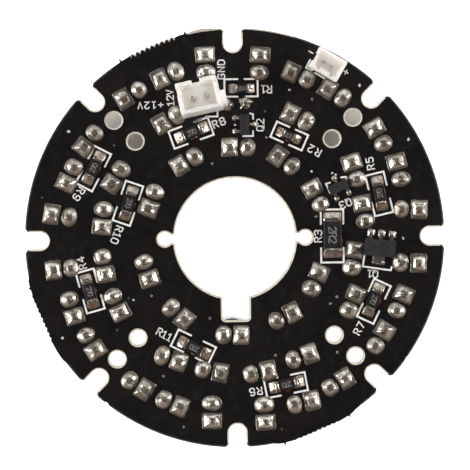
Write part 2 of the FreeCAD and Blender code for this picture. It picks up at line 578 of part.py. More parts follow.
# --------------------------------------------------------------- light sensor
def make_sensor():
    x, y, a = SENSOR_POS
    back = Z_BOT - SENSOR_DROP
    front = back - SENSOR_T
    body = cyl(SENSOR_R, front, back)
    body = body.cut([box(-5, SENSOR_FLAT, 0, 5, 5, 20), box(-5, -5, 0, 5, -SENSOR_FLAT, 20)])
    leads = [cyl(0.25, front + 0.10, Z_TOP + 0.75, s * SENSOR_PITCH / 2, 0) for s in (-1, 1)]
    # film: a serpentine track on the face that looks away from the board
    track = []
    n, pitch, tw = 6, 0.44, 0.24
    ys = [(i - (n - 1) / 2) * pitch for i in range(n)]
    for i, yy in enumerate(ys):
        track.append(box(-0.95, yy - tw / 2, front - 0.05, 0.95, yy + tw / 2, front))
    for i in range(n - 1):
        sx = 0.95 - tw if i % 2 == 0 else -0.95
        track.append(box(sx, ys[i] - tw / 2, front - 0.05, sx + tw, ys[i + 1] + tw / 2, front))
    film = track[0].fuse(track[1:])
    film = one(film)
    window = cyl(SENSOR_R - 0.12, front - 0.22, front)
    window = window.cut([box(-5, SENSOR_FLAT - 0.12, 0, 5, 5, 20), box(-5, -5, 0, 5, -SENSOR_FLAT + 0.12, 20), film])
    window = one(window)
    body = one(body.cut(leads))
    joints = []
    for s in (-1, 1):
        j = Part.makeCone(0.86 if s < 0 else 0.95, 0.36, 0.62, V(s * SENSOR_PITCH / 2, 0, Z_TOP))
        j = j.fuse(cyl(0.40, Z_BOT, Z_TOP + 0.1, s * SENSOR_PITCH / 2, 0))
        joints.append(one(one(j).cut(leads[0 if s < 0 else 1])))
    save("light_sensor_body", place(body, x, y, a))
    save("light_sensor_film", place(film, x, y, a))
    save("light_sensor_window", place(window, x, y, a))
    save("light_sensor_leads", [place(l, x, y, a) for l in leads])
    save("light_sensor_solder", [place(j, x, y, a) for j in joints])


save("circuit_board", make_board())
make_lamps()
make_chips()
make_transistors()
make_power()
make_irc()
make_sensor()
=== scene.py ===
import json
import math

import bpy
import numpy as np
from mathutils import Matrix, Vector


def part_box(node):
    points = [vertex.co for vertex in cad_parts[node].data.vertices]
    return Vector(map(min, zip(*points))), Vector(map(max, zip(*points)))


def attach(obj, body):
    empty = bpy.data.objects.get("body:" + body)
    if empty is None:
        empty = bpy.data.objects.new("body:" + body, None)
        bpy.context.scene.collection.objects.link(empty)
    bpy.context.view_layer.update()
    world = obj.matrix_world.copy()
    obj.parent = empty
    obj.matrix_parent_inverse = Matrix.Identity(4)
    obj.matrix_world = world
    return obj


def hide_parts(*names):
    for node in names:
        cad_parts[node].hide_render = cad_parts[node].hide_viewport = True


# Looks of a round infrared illuminator board, solder side up, lying on its lamps.
# The code's own lengths are millimetres in the frame of the part, turned into
# metres where a mesh is made.

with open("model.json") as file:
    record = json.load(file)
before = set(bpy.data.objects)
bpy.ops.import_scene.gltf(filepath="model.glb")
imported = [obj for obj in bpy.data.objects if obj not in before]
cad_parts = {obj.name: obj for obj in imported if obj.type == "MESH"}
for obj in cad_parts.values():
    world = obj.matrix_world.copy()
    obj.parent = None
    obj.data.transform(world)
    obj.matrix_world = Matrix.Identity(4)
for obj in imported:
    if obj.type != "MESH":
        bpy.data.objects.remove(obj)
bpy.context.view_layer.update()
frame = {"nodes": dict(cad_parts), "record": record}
NODES = frame["nodes"]
SCENE = bpy.context.scene
MM = 0.001

# ------------------------------------------------------------- main dimensions
LED_H, LED_R, FLANGE_R, FLANGE_T = 8.60, 2.50, 2.76, 1.00
PITCH = 2.54
Z_BOT, Z_TOP = 8.60, 10.20
COLLAR_R = 11.65         # solder stays outside of this ring round the lens hole

OUTER = [
    (-3.88, 24.91, 93), (-9.25, 23.34, -156), (-14.47, 20.67, -150),
    (-20.55, 14.24, -128), (-23.31, 9.29, -116), (-24.80, 3.57, 170),
    (-24.65, -4.05, -174), (-23.34, -9.59, -74), (-20.73, -14.61, -58),
    (-14.23, -20.74, -33), (-9.31, -23.41, -24), (-3.60, -24.78, -91),
    (3.96, -25.08, -86), (9.45, -23.60, 12), (14.39, -20.88, 31),
    (20.53, -14.54, 58), (23.48, -9.47, 65), (24.87, -3.86, -2),
    (25.04, 3.79, -2), (23.44, 9.35, 104), (20.70, 14.32, 119),
    (14.55, 20.45, 148), (9.42, 23.02, 155), (3.83, 24.77, 86),
]
MIDDLE = [
    (-9.16, 17.02, -151), (-16.76, 9.02, -124), (-18.76, 3.13, -97),
    (-18.70, -3.63, -81), (-16.96, -9.17, -65), (-9.41, -17.03, -20),
    (-3.59, -18.89, -12), (3.27, -19.19, 11), (9.28, -17.03, 19),
    (16.65, -9.36, 65), (16.82, -3.18, 80), (18.42, 3.47, 99),
    (17.14, 9.39, 108), (9.23, 17.08, 153),
]
INNER = [
    (-6.66, 11.06, -150), (-11.78, 5.61, -112), (-12.63, -4.42, -72),
    (-8.29, -10.62, -42), (-0.54, -13.80, -2), (6.90, -11.27, 27),
    (11.35, -6.16, 65), (11.68, 5.80, 117), (7.23, 10.91, 143),
    (0.67, 12.92, 179),
]
KEY_LAMP = INNER[4]
CHIPS = [
    ("r1", 1.22, 21.30, 0.0, 2.00, 1.25, 0.50),
    ("r2", 7.80, 14.50, -24.0, 2.00, 1.25, 0.50),
    ("r3", 13.89, 0.29, -90.0, 5.00, 2.50, 0.55),
    ("r4", -20.80, -7.27, -75.0, 3.20, 1.60, 0.55),
    ("r5", 20.68, 6.12, -80.0, 3.20, 1.60, 0.55),
    ("r6", 7.10, -20.95, 13.0, 3.20, 1.60, 0.55),
    ("r7", 19.66, -9.03, -113.5, 3.20, 1.60, 0.55),
    ("r8", -5.96, 15.14, 22.0, 3.20, 1.60, 0.55),
    ("r9", -19.95, 10.30, -118.0, 3.20, 1.60, 0.55),
    ("r10", -15.05, 5.22, -107.0, 3.20, 1.60, 0.55),
    ("r11", -6.02, -15.55, -26.8, 3.20, 1.60, 0.55),
]
FILLET_L = {"r1": 0.85, "r2": 0.85, "r3": 0.80}
Q1_POS = (20.62, -1.63, -6.5)
Q2_POS = (1.56, 16.18, 0.0)
Q3_POS = (14.83, 7.11, 115.8)
SENSOR_POS = (0.43, 19.11, 5.7)
SENSOR_PITCH = 2.52


# -------------------------------------------------------------------- materials
def node_tree(name):
    m = bpy.data.materials.new(name)
    m.use_nodes = True
    nt = m.node_tree
    bsdf = next(n for n in nt.nodes if n.type == "BSDF_PRINCIPLED")
    return m, nt, bsdf


def add(nt, kind, **kw):
    n = nt.nodes.new(kind)
    for k, v in kw.items():
        setattr(n, k, v)
    return n


def coords(nt):
    return add(nt, "ShaderNodeTexCoord").outputs["Object"]


def noise(nt, vec, size_mm, detail=3.0, rough=0.55, distortion=0.0):
    n = add(nt, "ShaderNodeTexNoise")
    n.inputs["Scale"].default_value = 1000.0 / size_mm
    n.inputs["Detail"].default_value = detail
    n.inputs["Roughness"].default_value = rough
    n.inputs["Distortion"].default_value = distortion
    nt.links.new(vec, n.inputs["Vector"])
    return n.outputs["Fac"]


def ramp(nt, fac, stops):
    r = add(nt, "ShaderNodeValToRGB")
    cr = r.color_ramp
    while len(cr.elements) < len(stops):
        cr.elements.new(0.5)
    for e, (p, c) in zip(cr.elements, stops):
        e.position = p
        e.color = (c, c, c, 1) if isinstance(c, (int, float)) else (*c, 1)
    nt.links.new(fac, r.inputs["Fac"])
    return r.outputs["Color"]


def mix(nt, fac, a, b, blend="MIX"):
    m = add(nt, "ShaderNodeMix", data_type="RGBA", blend_type=blend)
    for sock, v in ((0, fac), (6, a), (7, b)):
        if isinstance(v, bpy.types.NodeSocket):
            nt.links.new(v, m.inputs[sock])
        elif sock == 0:
            m.inputs[0].default_value = v
        else:
            m.inputs[sock].default_value = (*v, 1)
    return m.outputs[2]


def maths(nt, op, a, b=0.0, clamp=False):
    m = add(nt, "ShaderNodeMath", operation=op, use_clamp=clamp)
    for i, v in enumerate((a, b)):
        if isinstance(v, bpy.types.NodeSocket):
            nt.links.new(v, m.inputs[i])
        else:
            m.inputs[i].default_value = v
    return m.outputs[0]


def span(nt, fac, a0, a1, b0, b1):
    m = add(nt, "ShaderNodeMapRange")
    nt.links.new(fac, m.inputs["Value"])
    for k, v in (("From Min", a0), ("From Max", a1), ("To Min", b0), ("To Max", b1)):
        m.inputs[k].default_value = v
    return m.outputs["Result"]


def bump(nt, bsdf, height, dist_mm, strength=1.0, under=None):
    b = add(nt, "ShaderNodeBump")
    b.inputs["Strength"].default_value = strength
    b.inputs["Distance"].default_value = dist_mm * MM
    nt.links.new(height, b.inputs["Height"])
    if under is not None:
        nt.links.new(under, b.inputs["Normal"])
    nt.links.new(b.outputs["Normal"], bsdf.inputs["Normal"])
    return b.outputs["Normal"]


def xyz(nt, vec):
    s = add(nt, "ShaderNodeSeparateXYZ")
    nt.links.new(vec, s.inputs[0])
    return s.outputs


def mat_board():
    """Black solder mask on the two faces; cut laminate on walls, slants and teeth."""
    m, nt, b = node_tree("board_black_mask")
    c = coords(nt)
    # mask: near black, faint cloudy tone, slight orange peel
    cloud = noise(nt, c, 6.0, 3.0, 0.5, 0.6)
    fine = noise(nt, c, 0.9, 4.0, 0.6)
    mask = mix(nt, ramp(nt, cloud, [(0.35, 0.0), (0.70, 1.0)]), (0.0020, 0.0014, 0.0015), (0.0046, 0.0033, 0.0030))
    mask = mix(nt, ramp(nt, fine, [(0.55, 0.0), (0.85, 1.0)]), mask, (0.0075, 0.0066, 0.0078))
    # laminate: pale resin with darker glass layers
    p = xyz(nt, c)
    wave = add(nt, "ShaderNodeTexWave", wave_type="BANDS", bands_direction="Z")
    wave.inputs["Scale"].default_value = 1000.0 / 0.19 / 20 * 1.0
    wave.inputs["Distortion"].default_value = 2.5
    wave.inputs["Detail"].default_value = 2.0
    wave.inputs["Detail Scale"].default_value = 6.0
    nt.links.new(c, wave.inputs["Vector"])
    lam_n = noise(nt, c, 0.55, 4.0, 0.65)
    lam = mix(nt, ramp(nt, lam_n, [(0.3, 0.0), (0.72, 1.0)]), (0.50, 0.46, 0.36), (0.80, 0.77, 0.69))
    lam = mix(nt, maths(nt, "MULTIPLY", wave.outputs["Fac"], 0.30), lam, (0.30, 0.27, 0.19))
    # where: by the facet's tilt; on the rim the mask runs over the break, except at the north
    g = add(nt, "ShaderNodeNewGeometry")
    nz = maths(nt, "ABSOLUTE", xyz(nt, g.outputs["True Normal"])[2])
    flat = maths(nt, "GREATER_THAN", nz, 0.93)
    slant = maths(nt, "GREATER_THAN", nz, 0.35)
    rr = maths(nt, "SQRT", maths(nt, "ADD", maths(nt, "MULTIPLY", p[0], p[0]), maths(nt, "MULTIPLY", p[1], p[1])))
    wob = maths(nt, "MULTIPLY", noise(nt, c, 0.8, 2.0), 0.14 * MM)
    rim = maths(nt, "GREATER_THAN", rr, 29.30 * MM)
    verge = maths(nt, "GREATER_THAN", maths(nt, "ADD", rr, wob), 29.80 * MM)
    turn = maths(nt, "MULTIPLY", maths(nt, "ARCTAN2", p[1], p[0]), 180.0 / math.pi)
    swing = maths(nt, "MULTIPLY", noise(nt, c, 3.0, 3.0), 14.0)
    north = maths(nt, "MULTIPLY", maths(nt, "GREATER_THAN", maths(nt, "SUBTRACT", turn, swing), 64.0), maths(nt, "LESS_THAN", turn, 102.4))
    bare = maths(nt, "MULTIPLY", verge, north)                    # laminate at the northern rim
    # and between the torn points of the mask, which stand at the pitch of the rim's teeth
    run = maths(nt, "MULTIPLY", maths(nt, "GREATER_THAN", turn, 106.1), maths(nt, "LESS_THAN", turn, 119.2))
    phase = maths(nt, "FRACT", maths(nt, "DIVIDE", maths(nt, "SUBTRACT", turn, 106.1), 13.1 / 9.0))
    off = maths(nt, "ABSOLUTE", maths(nt, "SUBTRACT", phase, 0.57))
    torn = maths(nt, "GREATER_THAN", off, span(nt, rr, 29.42 * MM, 29.84 * MM, 0.52, 0.10))
    torn = maths(nt, "MULTIPLY", torn, maths(nt, "GREATER_THAN", rr, 29.42 * MM))
    bare = maths(nt, "MAXIMUM", bare, maths(nt, "MULTIPLY", run, torn))
    lam = mix(nt, bare, lam, mix(nt, lam_n, (0.22, 0.20, 0.16), (0.46, 0.42, 0.345)))
    on_rim = maths(nt, "MULTIPLY", rim, slant)
    is_mask = maths(nt, "MAXIMUM", flat, on_rim)
    is_mask = maths(nt, "MULTIPLY", is_mask, maths(nt, "SUBTRACT", 1.0, bare))
    nt.links.new(mix(nt, is_mask, lam, mask), b.inputs["Base Color"])
    rough = mix(nt, is_mask, (0.72,) * 3, ramp(nt, fine, [(0.3, 0.30), (0.8, 0.44)]))
    nt.links.new(rough, b.inputs["Roughness"])
    b.inputs["IOR"].default_value = 1.46
    h = maths(nt, "ADD", maths(nt, "MULTIPLY", fine, 0.6), maths(nt, "MULTIPLY", cloud, 2.0))
    bump(nt, b, h, 0.012, 0.6)
    return m


def mat_solder(name="solder", tone=1.0, brown=0.0):
    m, nt, b = node_tree(name)
    c = coords(nt)
    big = noise(nt, c, 1.6, 2.0, 0.5)
    mid = noise(nt, c, 0.45, 4.0, 0.6, 0.4)
    fine = noise(nt, c, 0.10, 3.0, 0.6)
    z = xyz(nt, c)[2]
    col = mix(nt, ramp(nt, big, [(0.30, 0.0), (0.70, 1.0)]), (0.57 * tone, 0.525 * tone, 0.465 * tone), (0.80 * tone, 0.765 * tone, 0.705 * tone))
    col = mix(nt, ramp(nt, mid, [(0.52, 0.0), (0.80, 0.75)]), col, (0.36 * tone, 0.31 * tone, 0.25 * tone))
    if brown:
        stain = ramp(nt, noise(nt, c, 0.7, 4.0, 0.7, 0.8), [(0.42, 0.0), (0.62, brown)])
        col = mix(nt, stain, col, (0.33, 0.205, 0.15))
    # darker and browner towards the foot of a joint
    low = span(nt, z, (Z_TOP + 0.055) * MM, (Z_TOP + 0.18) * MM, 1.0, 0.0)
    foot = maths(nt, "MULTIPLY", low, ramp(nt, noise(nt, c, 0.8, 3.0), [(0.25, 0.45), (0.75, 1.0)]), clamp=True)
    col = mix(nt, foot, col, (0.078, 0.069, 0.048))
    # set flux over parts of some joints
    crust = ramp(nt, noise(nt, c, 4.6, 3.0, 0.6, 1.0), [(0.60, 0.0), (0.70, 0.75)])
    crust = mix(nt, maths(nt, "MULTIPLY", crust, ramp(nt, mid, [(0.35, 0.3), (0.6, 1.0)])), (0, 0, 0), (1, 1, 1))
    col = mix(nt, crust, col, (0.30, 0.20, 0.12))
    nt.links.new(col, b.inputs["Base Color"])
    b.inputs["Metallic"].default_value = 1.0
    rough = maths(nt, "ADD", ramp(nt, mid, [(0.25, 0.21), (0.80, 0.38)]), maths(nt, "MULTIPLY", foot, 0.28))
    nt.links.new(rough, b.inputs["Roughness"])
    h = maths(nt, "ADD", maths(nt, "MULTIPLY", mid, 1.0), maths(nt, "MULTIPLY", fine, 0.25))
    bump(nt, b, h, 0.040 + 0.05 * brown, 0.28 + 0.3 * brown)
    return m


def mat_metal(name, color, dark, r0, r1, size=0.5, cut=None):
    """Plated metal with a cloudy tone; cut names the tone of the faces above the board that look up."""
    m, nt, b = node_tree(name)
    c = coords(nt)
    n = noise(nt, c, size, 4.0, 0.6)
    col = mix(nt, ramp(nt, n, [(0.35, 0.0), (0.75, 1.0)]), color, dark)
    if cut is not None:
        g = add(nt, "ShaderNodeNewGeometry")
        up = maths(nt, "GREATER_THAN", xyz(nt, g.outputs["True Normal"])[2], 0.9)
        z = xyz(nt, c)[2]
        tip = maths(nt, "MULTIPLY", up, maths(nt, "GREATER_THAN", z, (Z_TOP + 0.5) * MM))
        col = mix(nt, tip, col, cut)
    nt.links.new(col, b.inputs["Base Color"])
    b.inputs["Metallic"].default_value = 1.0
    nt.links.new(ramp(nt, n, [(0.3, r0), (0.8, r1)]), b.inputs["Roughness"])
    bump(nt, b, noise(nt, c, size * 0.3, 3.0), 0.012, 0.4)
    return m


def mat_plain(name, a, bcol, r0, r1, size=1.0, dist=0.01, ior=1.5, strength=0.5, distortion=0.0):
    m, nt, b = node_tree(name)
    c = coords(nt)
    n = noise(nt, c, size, 4.0, 0.6, distortion)
    nt.links.new(mix(nt, ramp(nt, n, [(0.3, 0.0), (0.72, 1.0)]), a, bcol), b.inputs["Base Color"])
    nt.links.new(ramp(nt, noise(nt, c, size * 0.4, 3.0), [(0.3, r0), (0.75, r1)]), b.inputs["Roughness"])
    b.inputs["IOR"].default_value = ior
    bump(nt, b, noise(nt, c, size * 0.25, 4.0), dist, strength)
    return m


def mat_nylon():
    m, nt, b = node_tree("connector_white")
    c = coords(nt)
    n = noise(nt, c, 2.2, 3.0, 0.5)
    fine = noise(nt, c, 0.12, 3.0, 0.6)
    p = xyz(nt, c)
    # painted light and shade: the tops of the walls are painted duller and the cavity and the sides lighter and
    # warmer, standing in for light carried through the nylon into the cavity; the low connector is the one to the east
    tall = maths(nt, "ADD", maths(nt, "MULTIPLY", maths(nt, "LESS_THAN", p[0], 5.0 * MM), 1.70 * MM), (Z_TOP + 3.65) * MM)
    deep = span(nt, maths(nt, "SUBTRACT", p[2], tall), -0.30 * MM, 0.25 * MM, 1.0, 0.0)
    col = mix(nt, ramp(nt, n, [(0.3, 0.0), (0.75, 1.0)]), (0.575, 0.55, 0.53), (0.645, 0.62, 0.60))
    # painted light: the cavity's light tone, a little darker and warmer low down, stands in for light and shade inside
    # the cavity
    cavity_painted_light = mix(nt, span(nt, p[2], (Z_TOP + 2.0) * MM, (Z_TOP + 3.0) * MM, 0.0, 1.0), (0.99, 0.855, 0.785), (0.97, 0.90, 0.865))
    col = mix(nt, deep, col, cavity_painted_light)
    nt.links.new(col, b.inputs["Base Color"])
    nt.links.new(ramp(nt, fine, [(0.3, 0.34), (0.75, 0.48)]), b.inputs["Roughness"])
    b.inputs["IOR"].default_value = 1.53
    b.inputs["Subsurface Weight"].default_value = 1.0
    b.inputs["Subsurface Radius"].default_value = (1.0, 0.80, 0.66)
    b.inputs["Subsurface Scale"].default_value = 0.0030
    bump(nt, b, maths(nt, "ADD", maths(nt, "MULTIPLY", fine, 0.4), n), 0.02, 0.35)
    return m


def mat_epoxy():
    m, nt, b = node_tree("clear_epoxy")
    c = coords(nt)
    b.inputs["Base Color"].default_value = (0.97, 0.985, 0.99, 1)
    b.inputs["Transmission Weight"].default_value = 1.0
    b.inputs["IOR"].default_value = 1.53
    nt.links.new(ramp(nt, noise(nt, c, 1.2, 2.0), [(0.3, 0.015), (0.8, 0.05)]), b.inputs["Roughness"])
    bump(nt, b, noise(nt, c, 2.5, 2.0), 0.02, 0.25)
    return m


def mat_mark(name, a, b_, rough=0.55):
    """Printed ink with thin and thick places."""
    m, nt, b = node_tree(name)
    c = coords(nt)
    n = noise(nt, c, 0.35, 4.0, 0.65)
    nt.links.new(mix(nt, ramp(nt, n, [(0.25, 1.0), (0.55, 0.0)]), a, b_), b.inputs["Base Color"])
    nt.links.new(ramp(nt, n, [(0.3, rough - 0.1), (0.8, rough + 0.1)]), b.inputs["Roughness"])
    bump(nt, b, noise(nt, c, 0.12, 3.0), 0.006, 0.5)
    return m


MATS = {
    "board_black_mask": mat_board(),
    "clear_epoxy": mat_epoxy(),
    "emitter_die": mat_plain("emitter_die", (0.05, 0.045, 0.06), (0.11, 0.10, 0.13), 0.2, 0.35, 0.2),
    "tinned_steel_lead": mat_metal("tinned_steel_lead", (0.66, 0.64, 0.61), (0.46, 0.42, 0.38), 0.28, 0.48, 0.4, cut=(0.58, 0.48, 0.41)),
    "solder": mat_solder(),
    "tinned_cap": mat_solder("tinned_cap", 0.84, 0.9),
    "resistor_body": mat_plain("resistor_body", (0.006, 0.005, 0.005), (0.015, 0.013, 0.012), 0.28, 0.40, 0.8, 0.01),
    "package_black": mat_plain("package_black", (0.008, 0.0075, 0.0085), (0.020, 0.019, 0.021), 0.42, 0.62, 0.5, 0.02, strength=0.8),
    "connector_white": mat_nylon(),
    "tinned_brass_pin": mat_metal("tinned_brass_pin", (0.80, 0.76, 0.70), (0.62, 0.57, 0.50), 0.10, 0.20, 0.5),
    "sensor_ceramic": mat_plain("sensor_ceramic", (0.74, 0.69, 0.60), (0.84, 0.80, 0.72), 0.6, 0.8, 0.6, 0.02),
    "sensor_film": mat_plain("sensor_film", (0.52, 0.15, 0.04), (0.66, 0.22, 0.07), 0.45, 0.6, 0.4, 0.01),
}
CHIP_SOLDER = mat_solder("chip_solder", 0.86, 0.8)
TAB_TIN = mat_solder("tab_tin", 0.92, 0.2)
PRINT_WHITE = mat_mark("print_white", (0.66, 0.65, 0.63), (0.44, 0.43, 0.41))
PRINT_GREY = mat_mark("print_grey", (0.20, 0.197, 0.195), (0.11, 0.107, 0.105))
ADHESIVE = mat_plain("red_adhesive", (0.045, 0.004, 0.006), (0.095, 0.010, 0.012), 0.15, 0.3, 0.5, 0.02)
# pale via plugs: painted light that stands in for light seen through open holes
VIA_PAINTED_LIGHT = mat_plain("via_plug_painted_light", (0.33, 0.325, 0.31), (0.48, 0.47, 0.455), 0.35, 0.5, 0.9)
VIA_DULL = mat_plain("via_tin_dull", (0.085, 0.083, 0.08), (0.17, 0.167, 0.16), 0.4, 0.55, 0.9)
VIA_MASKED = mat_plain("via_tin_masked", (0.035, 0.034, 0.035), (0.07, 0.069, 0.07), 0.35, 0.5, 0.9)
GOLD = mat_metal("gold_wire", (0.86, 0.62, 0.26), (0.78, 0.52, 0.20), 0.15, 0.25, 0.3)


# ---------------------------------------------------------------- mesh building
class Build:
    """Vertices and faces of one piece, gathered from many small closed forms."""

    def __init__(self):
        self.v, self.f, self.n = [], [], 0

    def put(self, verts, faces):
        self.v.append(np.asarray(verts, float))
        off = self.n
        self.f += [tuple(i + off for i in q) for q in faces]
        self.n += len(verts)

    def make(self, name, material, smooth=True, slot=None, replaces=(), angle=None):
        me = bpy.data.meshes.new(name)
        co = np.vstack(self.v) * MM
        me.from_pydata(co.tolist(), [], self.f)
        me.update()
        me.polygons.foreach_set("use_smooth", [bool(smooth)] * len(me.polygons))
        if angle is not None:
            me.set_sharp_from_angle(angle=math.radians(angle))
        me.materials.append(material)
        ob = bpy.data.objects.new(name, me)
        SCENE.collection.objects.link(ob)
        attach(ob, "root")
        if replaces:
            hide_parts(*replaces)
        return ob


def rot(x, y, deg):
    u = math.radians(deg)
    return x * math.cos(u) - y * math.sin(u), x * math.sin(u) + y * math.cos(u)


def lumps(x, y, seed, wave=0.9, n=7):
    """Smooth repeatable relief between about -1 and 1."""
    r = np.random.RandomState(seed)
    out = np.zeros(np.broadcast(x, y).shape)
    for _ in range(n):
        a = r.uniform(0, 2 * math.pi)
        k = 2 * math.pi / (wave * r.uniform(0.65, 1.7))
        out = out + np.sin(k * (x * math.cos(a) + y * math.sin(a)) + r.uniform(0, 2 * math.pi))
    return out / math.sqrt(n) * 0.75


def polar_form(out, cx, cy, deg, z0, sign, radius, inner, height, top, nth=48, nr=14, foot=-0.004, keep=0.0):
    """Closed mound round (cx, cy): rings from the outline radius(a) to inner(a), height(t, x, y) above z0, capped at top."""
    fine = np.linspace(0, 2 * math.pi, 1441)
    rf = radius(fine)
    run = np.concatenate([[0], np.cumsum(np.hypot(np.diff(rf * np.cos(fine)), np.diff(rf * np.sin(fine))))])
    a = np.interp(np.arange(nth) / nth * run[-1], run, fine)
    ro, ri = radius(a), inner(a)
    t = np.linspace(0, 1, nr) ** 0.9
    rows = []
    ca, sa = np.cos(a), np.sin(a)
    rows.append(np.stack([ro * 1.004 * ca, ro * 1.004 * sa, np.full(nth, foot)], 1))
    for ti in t:
        r = ro + (ri - ro) * ti
        x, y = r * ca, r * sa
        rows.append(np.stack([x, y, height(ti, x, y, a)], 1))
    pts = np.vstack(rows + [np.array([[0, 0, top]]), np.array([[0, 0, foot]])])
    x, y = rot(pts[:, 0], pts[:, 1], deg)
    if keep:
        away = np.hypot(x + cx, y + cy)
        pts[:, 2] = np.where(pts[:, 2] > 0, pts[:, 2] * np.clip((away - keep + 0.22) / 0.36, 0.12, 1.0), pts[:, 2])
        push = np.maximum(away, keep) / away
        x, y = (x + cx) * push - cx, (y + cy) * push - cy
    pts = np.stack([x + cx, y + cy, z0 + sign * pts[:, 2]], 1)
    faces = []
    rings = nr + 1
    for i in range(rings - 1):
        for j in range(nth):
            k = (j + 1) % nth
            faces.append((i * nth + j, i * nth + k, (i + 1) * nth + k, (i + 1) * nth + j))
    ct, cb = rings * nth, rings * nth + 1
    for j in range(nth):
        k = (j + 1) % nth
        faces.append(((rings - 1) * nth + j, (rings - 1) * nth + k, ct))
        faces.append((cb, k, j))
    if sign < 0:
        faces = [q[::-1] for q in faces]
    out.put(pts, faces)


def field_form(out, place, zfun, xf, nu=14, nv=14):
    """Closed mound over a four-sided patch. xf(u, v) gives local x, y and zfun(u, v, x, y) the height."""
    u = np.linspace(0, 1, nu)[:, None] * np.ones((1, nv))
    v = np.ones((nu, 1)) * np.linspace(-1, 1, nv)[None, :]
    x, y = xf(u, v)
    z = zfun(u, v, x, y)
    cx, cy, deg, z0 = place
    X, Y = rot(x, y, deg)
    top = np.stack([X.ravel() + cx, Y.ravel() + cy, (z0 + z).ravel()], 1)
    loop = [(0, j) for j in range(nv)] + [(i, nv - 1) for i in range(1, nu)]
    loop += [(nu - 1, j) for j in range(nv - 2, -1, -1)] + [(i, 0) for i in range(nu - 2, 0, -1)]
    idx = [i * nv + j for i, j in loop]
    low = top[idx].copy()
    low[:, 2] = z0 - 0.004
    faces = []
    for i in range(nu - 1):
        for j in range(nv - 1):
            faces.append((i * nv + j, (i + 1) * nv + j, (i + 1) * nv + j + 1, i * nv + j + 1))
    n0, m = nu * nv, len(idx)
    for a in range(m):
        b = (a + 1) % m
        faces.append((idx[a], idx[b], n0 + b, n0 + a))
    faces.append(tuple(n0 + a for a in range(m)))
    out.put(np.vstack([top, low]), faces)


def ribbon(out, pts, w, z0, z1, closed=False, ncap=5):
    """Flat printed stroke along pts with round ends."""
    p = np.asarray(pts, float)
    n = len(p)
    left, right = [], []
    for i in range(n):
        prev = p[i - 1] if (i > 0 or closed) else None
        nxt = p[(i + 1) % n] if (i < n - 1 or closed) else None
        d1 = None if prev is None else (p[i] - prev) / max(np.linalg.norm(p[i] - prev), 1e-9)
        d2 = None if nxt is None else (nxt - p[i]) / max(np.linalg.norm(nxt - p[i]), 1e-9)
        d1 = d2 if d1 is None else d1
        d2 = d1 if d2 is None else d2
        n1, n2 = np.array([-d1[1], d1[0]]), np.array([-d2[1], d2[0]])
        m = n1 + n2
        m = m / max(np.linalg.norm(m), 1e-6)
        k = 1.0 / max(0.55, float(m @ n1))
        left.append(p[i] + m * w / 2 * k)
        right.append(p[i] - m * w / 2 * k)
    left, right = np.array(left), np.array(right)

    def layer(q, z):
        return np.column_stack([q, np.full(len(q), z)])

    verts = np.vstack([layer(left, z1), layer(right, z1), layer(left, z0), layer(right, z0)])
    L1, R1, L0, R0 = 0, n, 2 * n, 3 * n
    faces = []
    for i in range(n if closed else n - 1):
        j = (i + 1) % n
        faces += [(R1 + i, R1 + j, L1 + j, L1 + i), (L0 + i, L0 + j, R0 + j, R0 + i),
                  (L1 + i, L1 + j, L0 + j, L0 + i), (R0 + i, R0 + j, R1 + j, R1 + i)]
    out.put(verts, faces)
    if not closed:
        for i, a, b in ((0, left[0], right[0]), (n - 1, right[n - 1], left[n - 1])):
            c = (a + b) / 2
            r = (a - c)
            arc = []
            for s in range(ncap + 1):
                t = math.pi * s / ncap
                arc.append(c + np.array([r[0] * math.cos(t) - r[1] * math.sin(t), r[0] * math.sin(t) + r[1] * math.cos(t)]))
            arc = np.array(arc)
            m = len(arc)
            vv = np.vstack([layer(arc, z1), layer(arc, z0)])
            ff = [tuple(range(m)), tuple(range(2 * m - 1, m - 1, -1))]
            for s in range(m - 1):
                ff.append((s + 1, s, m + s, m + s + 1))
            ff.append((0, m - 1, 2 * m - 1, m))
            out.put(vv, ff)


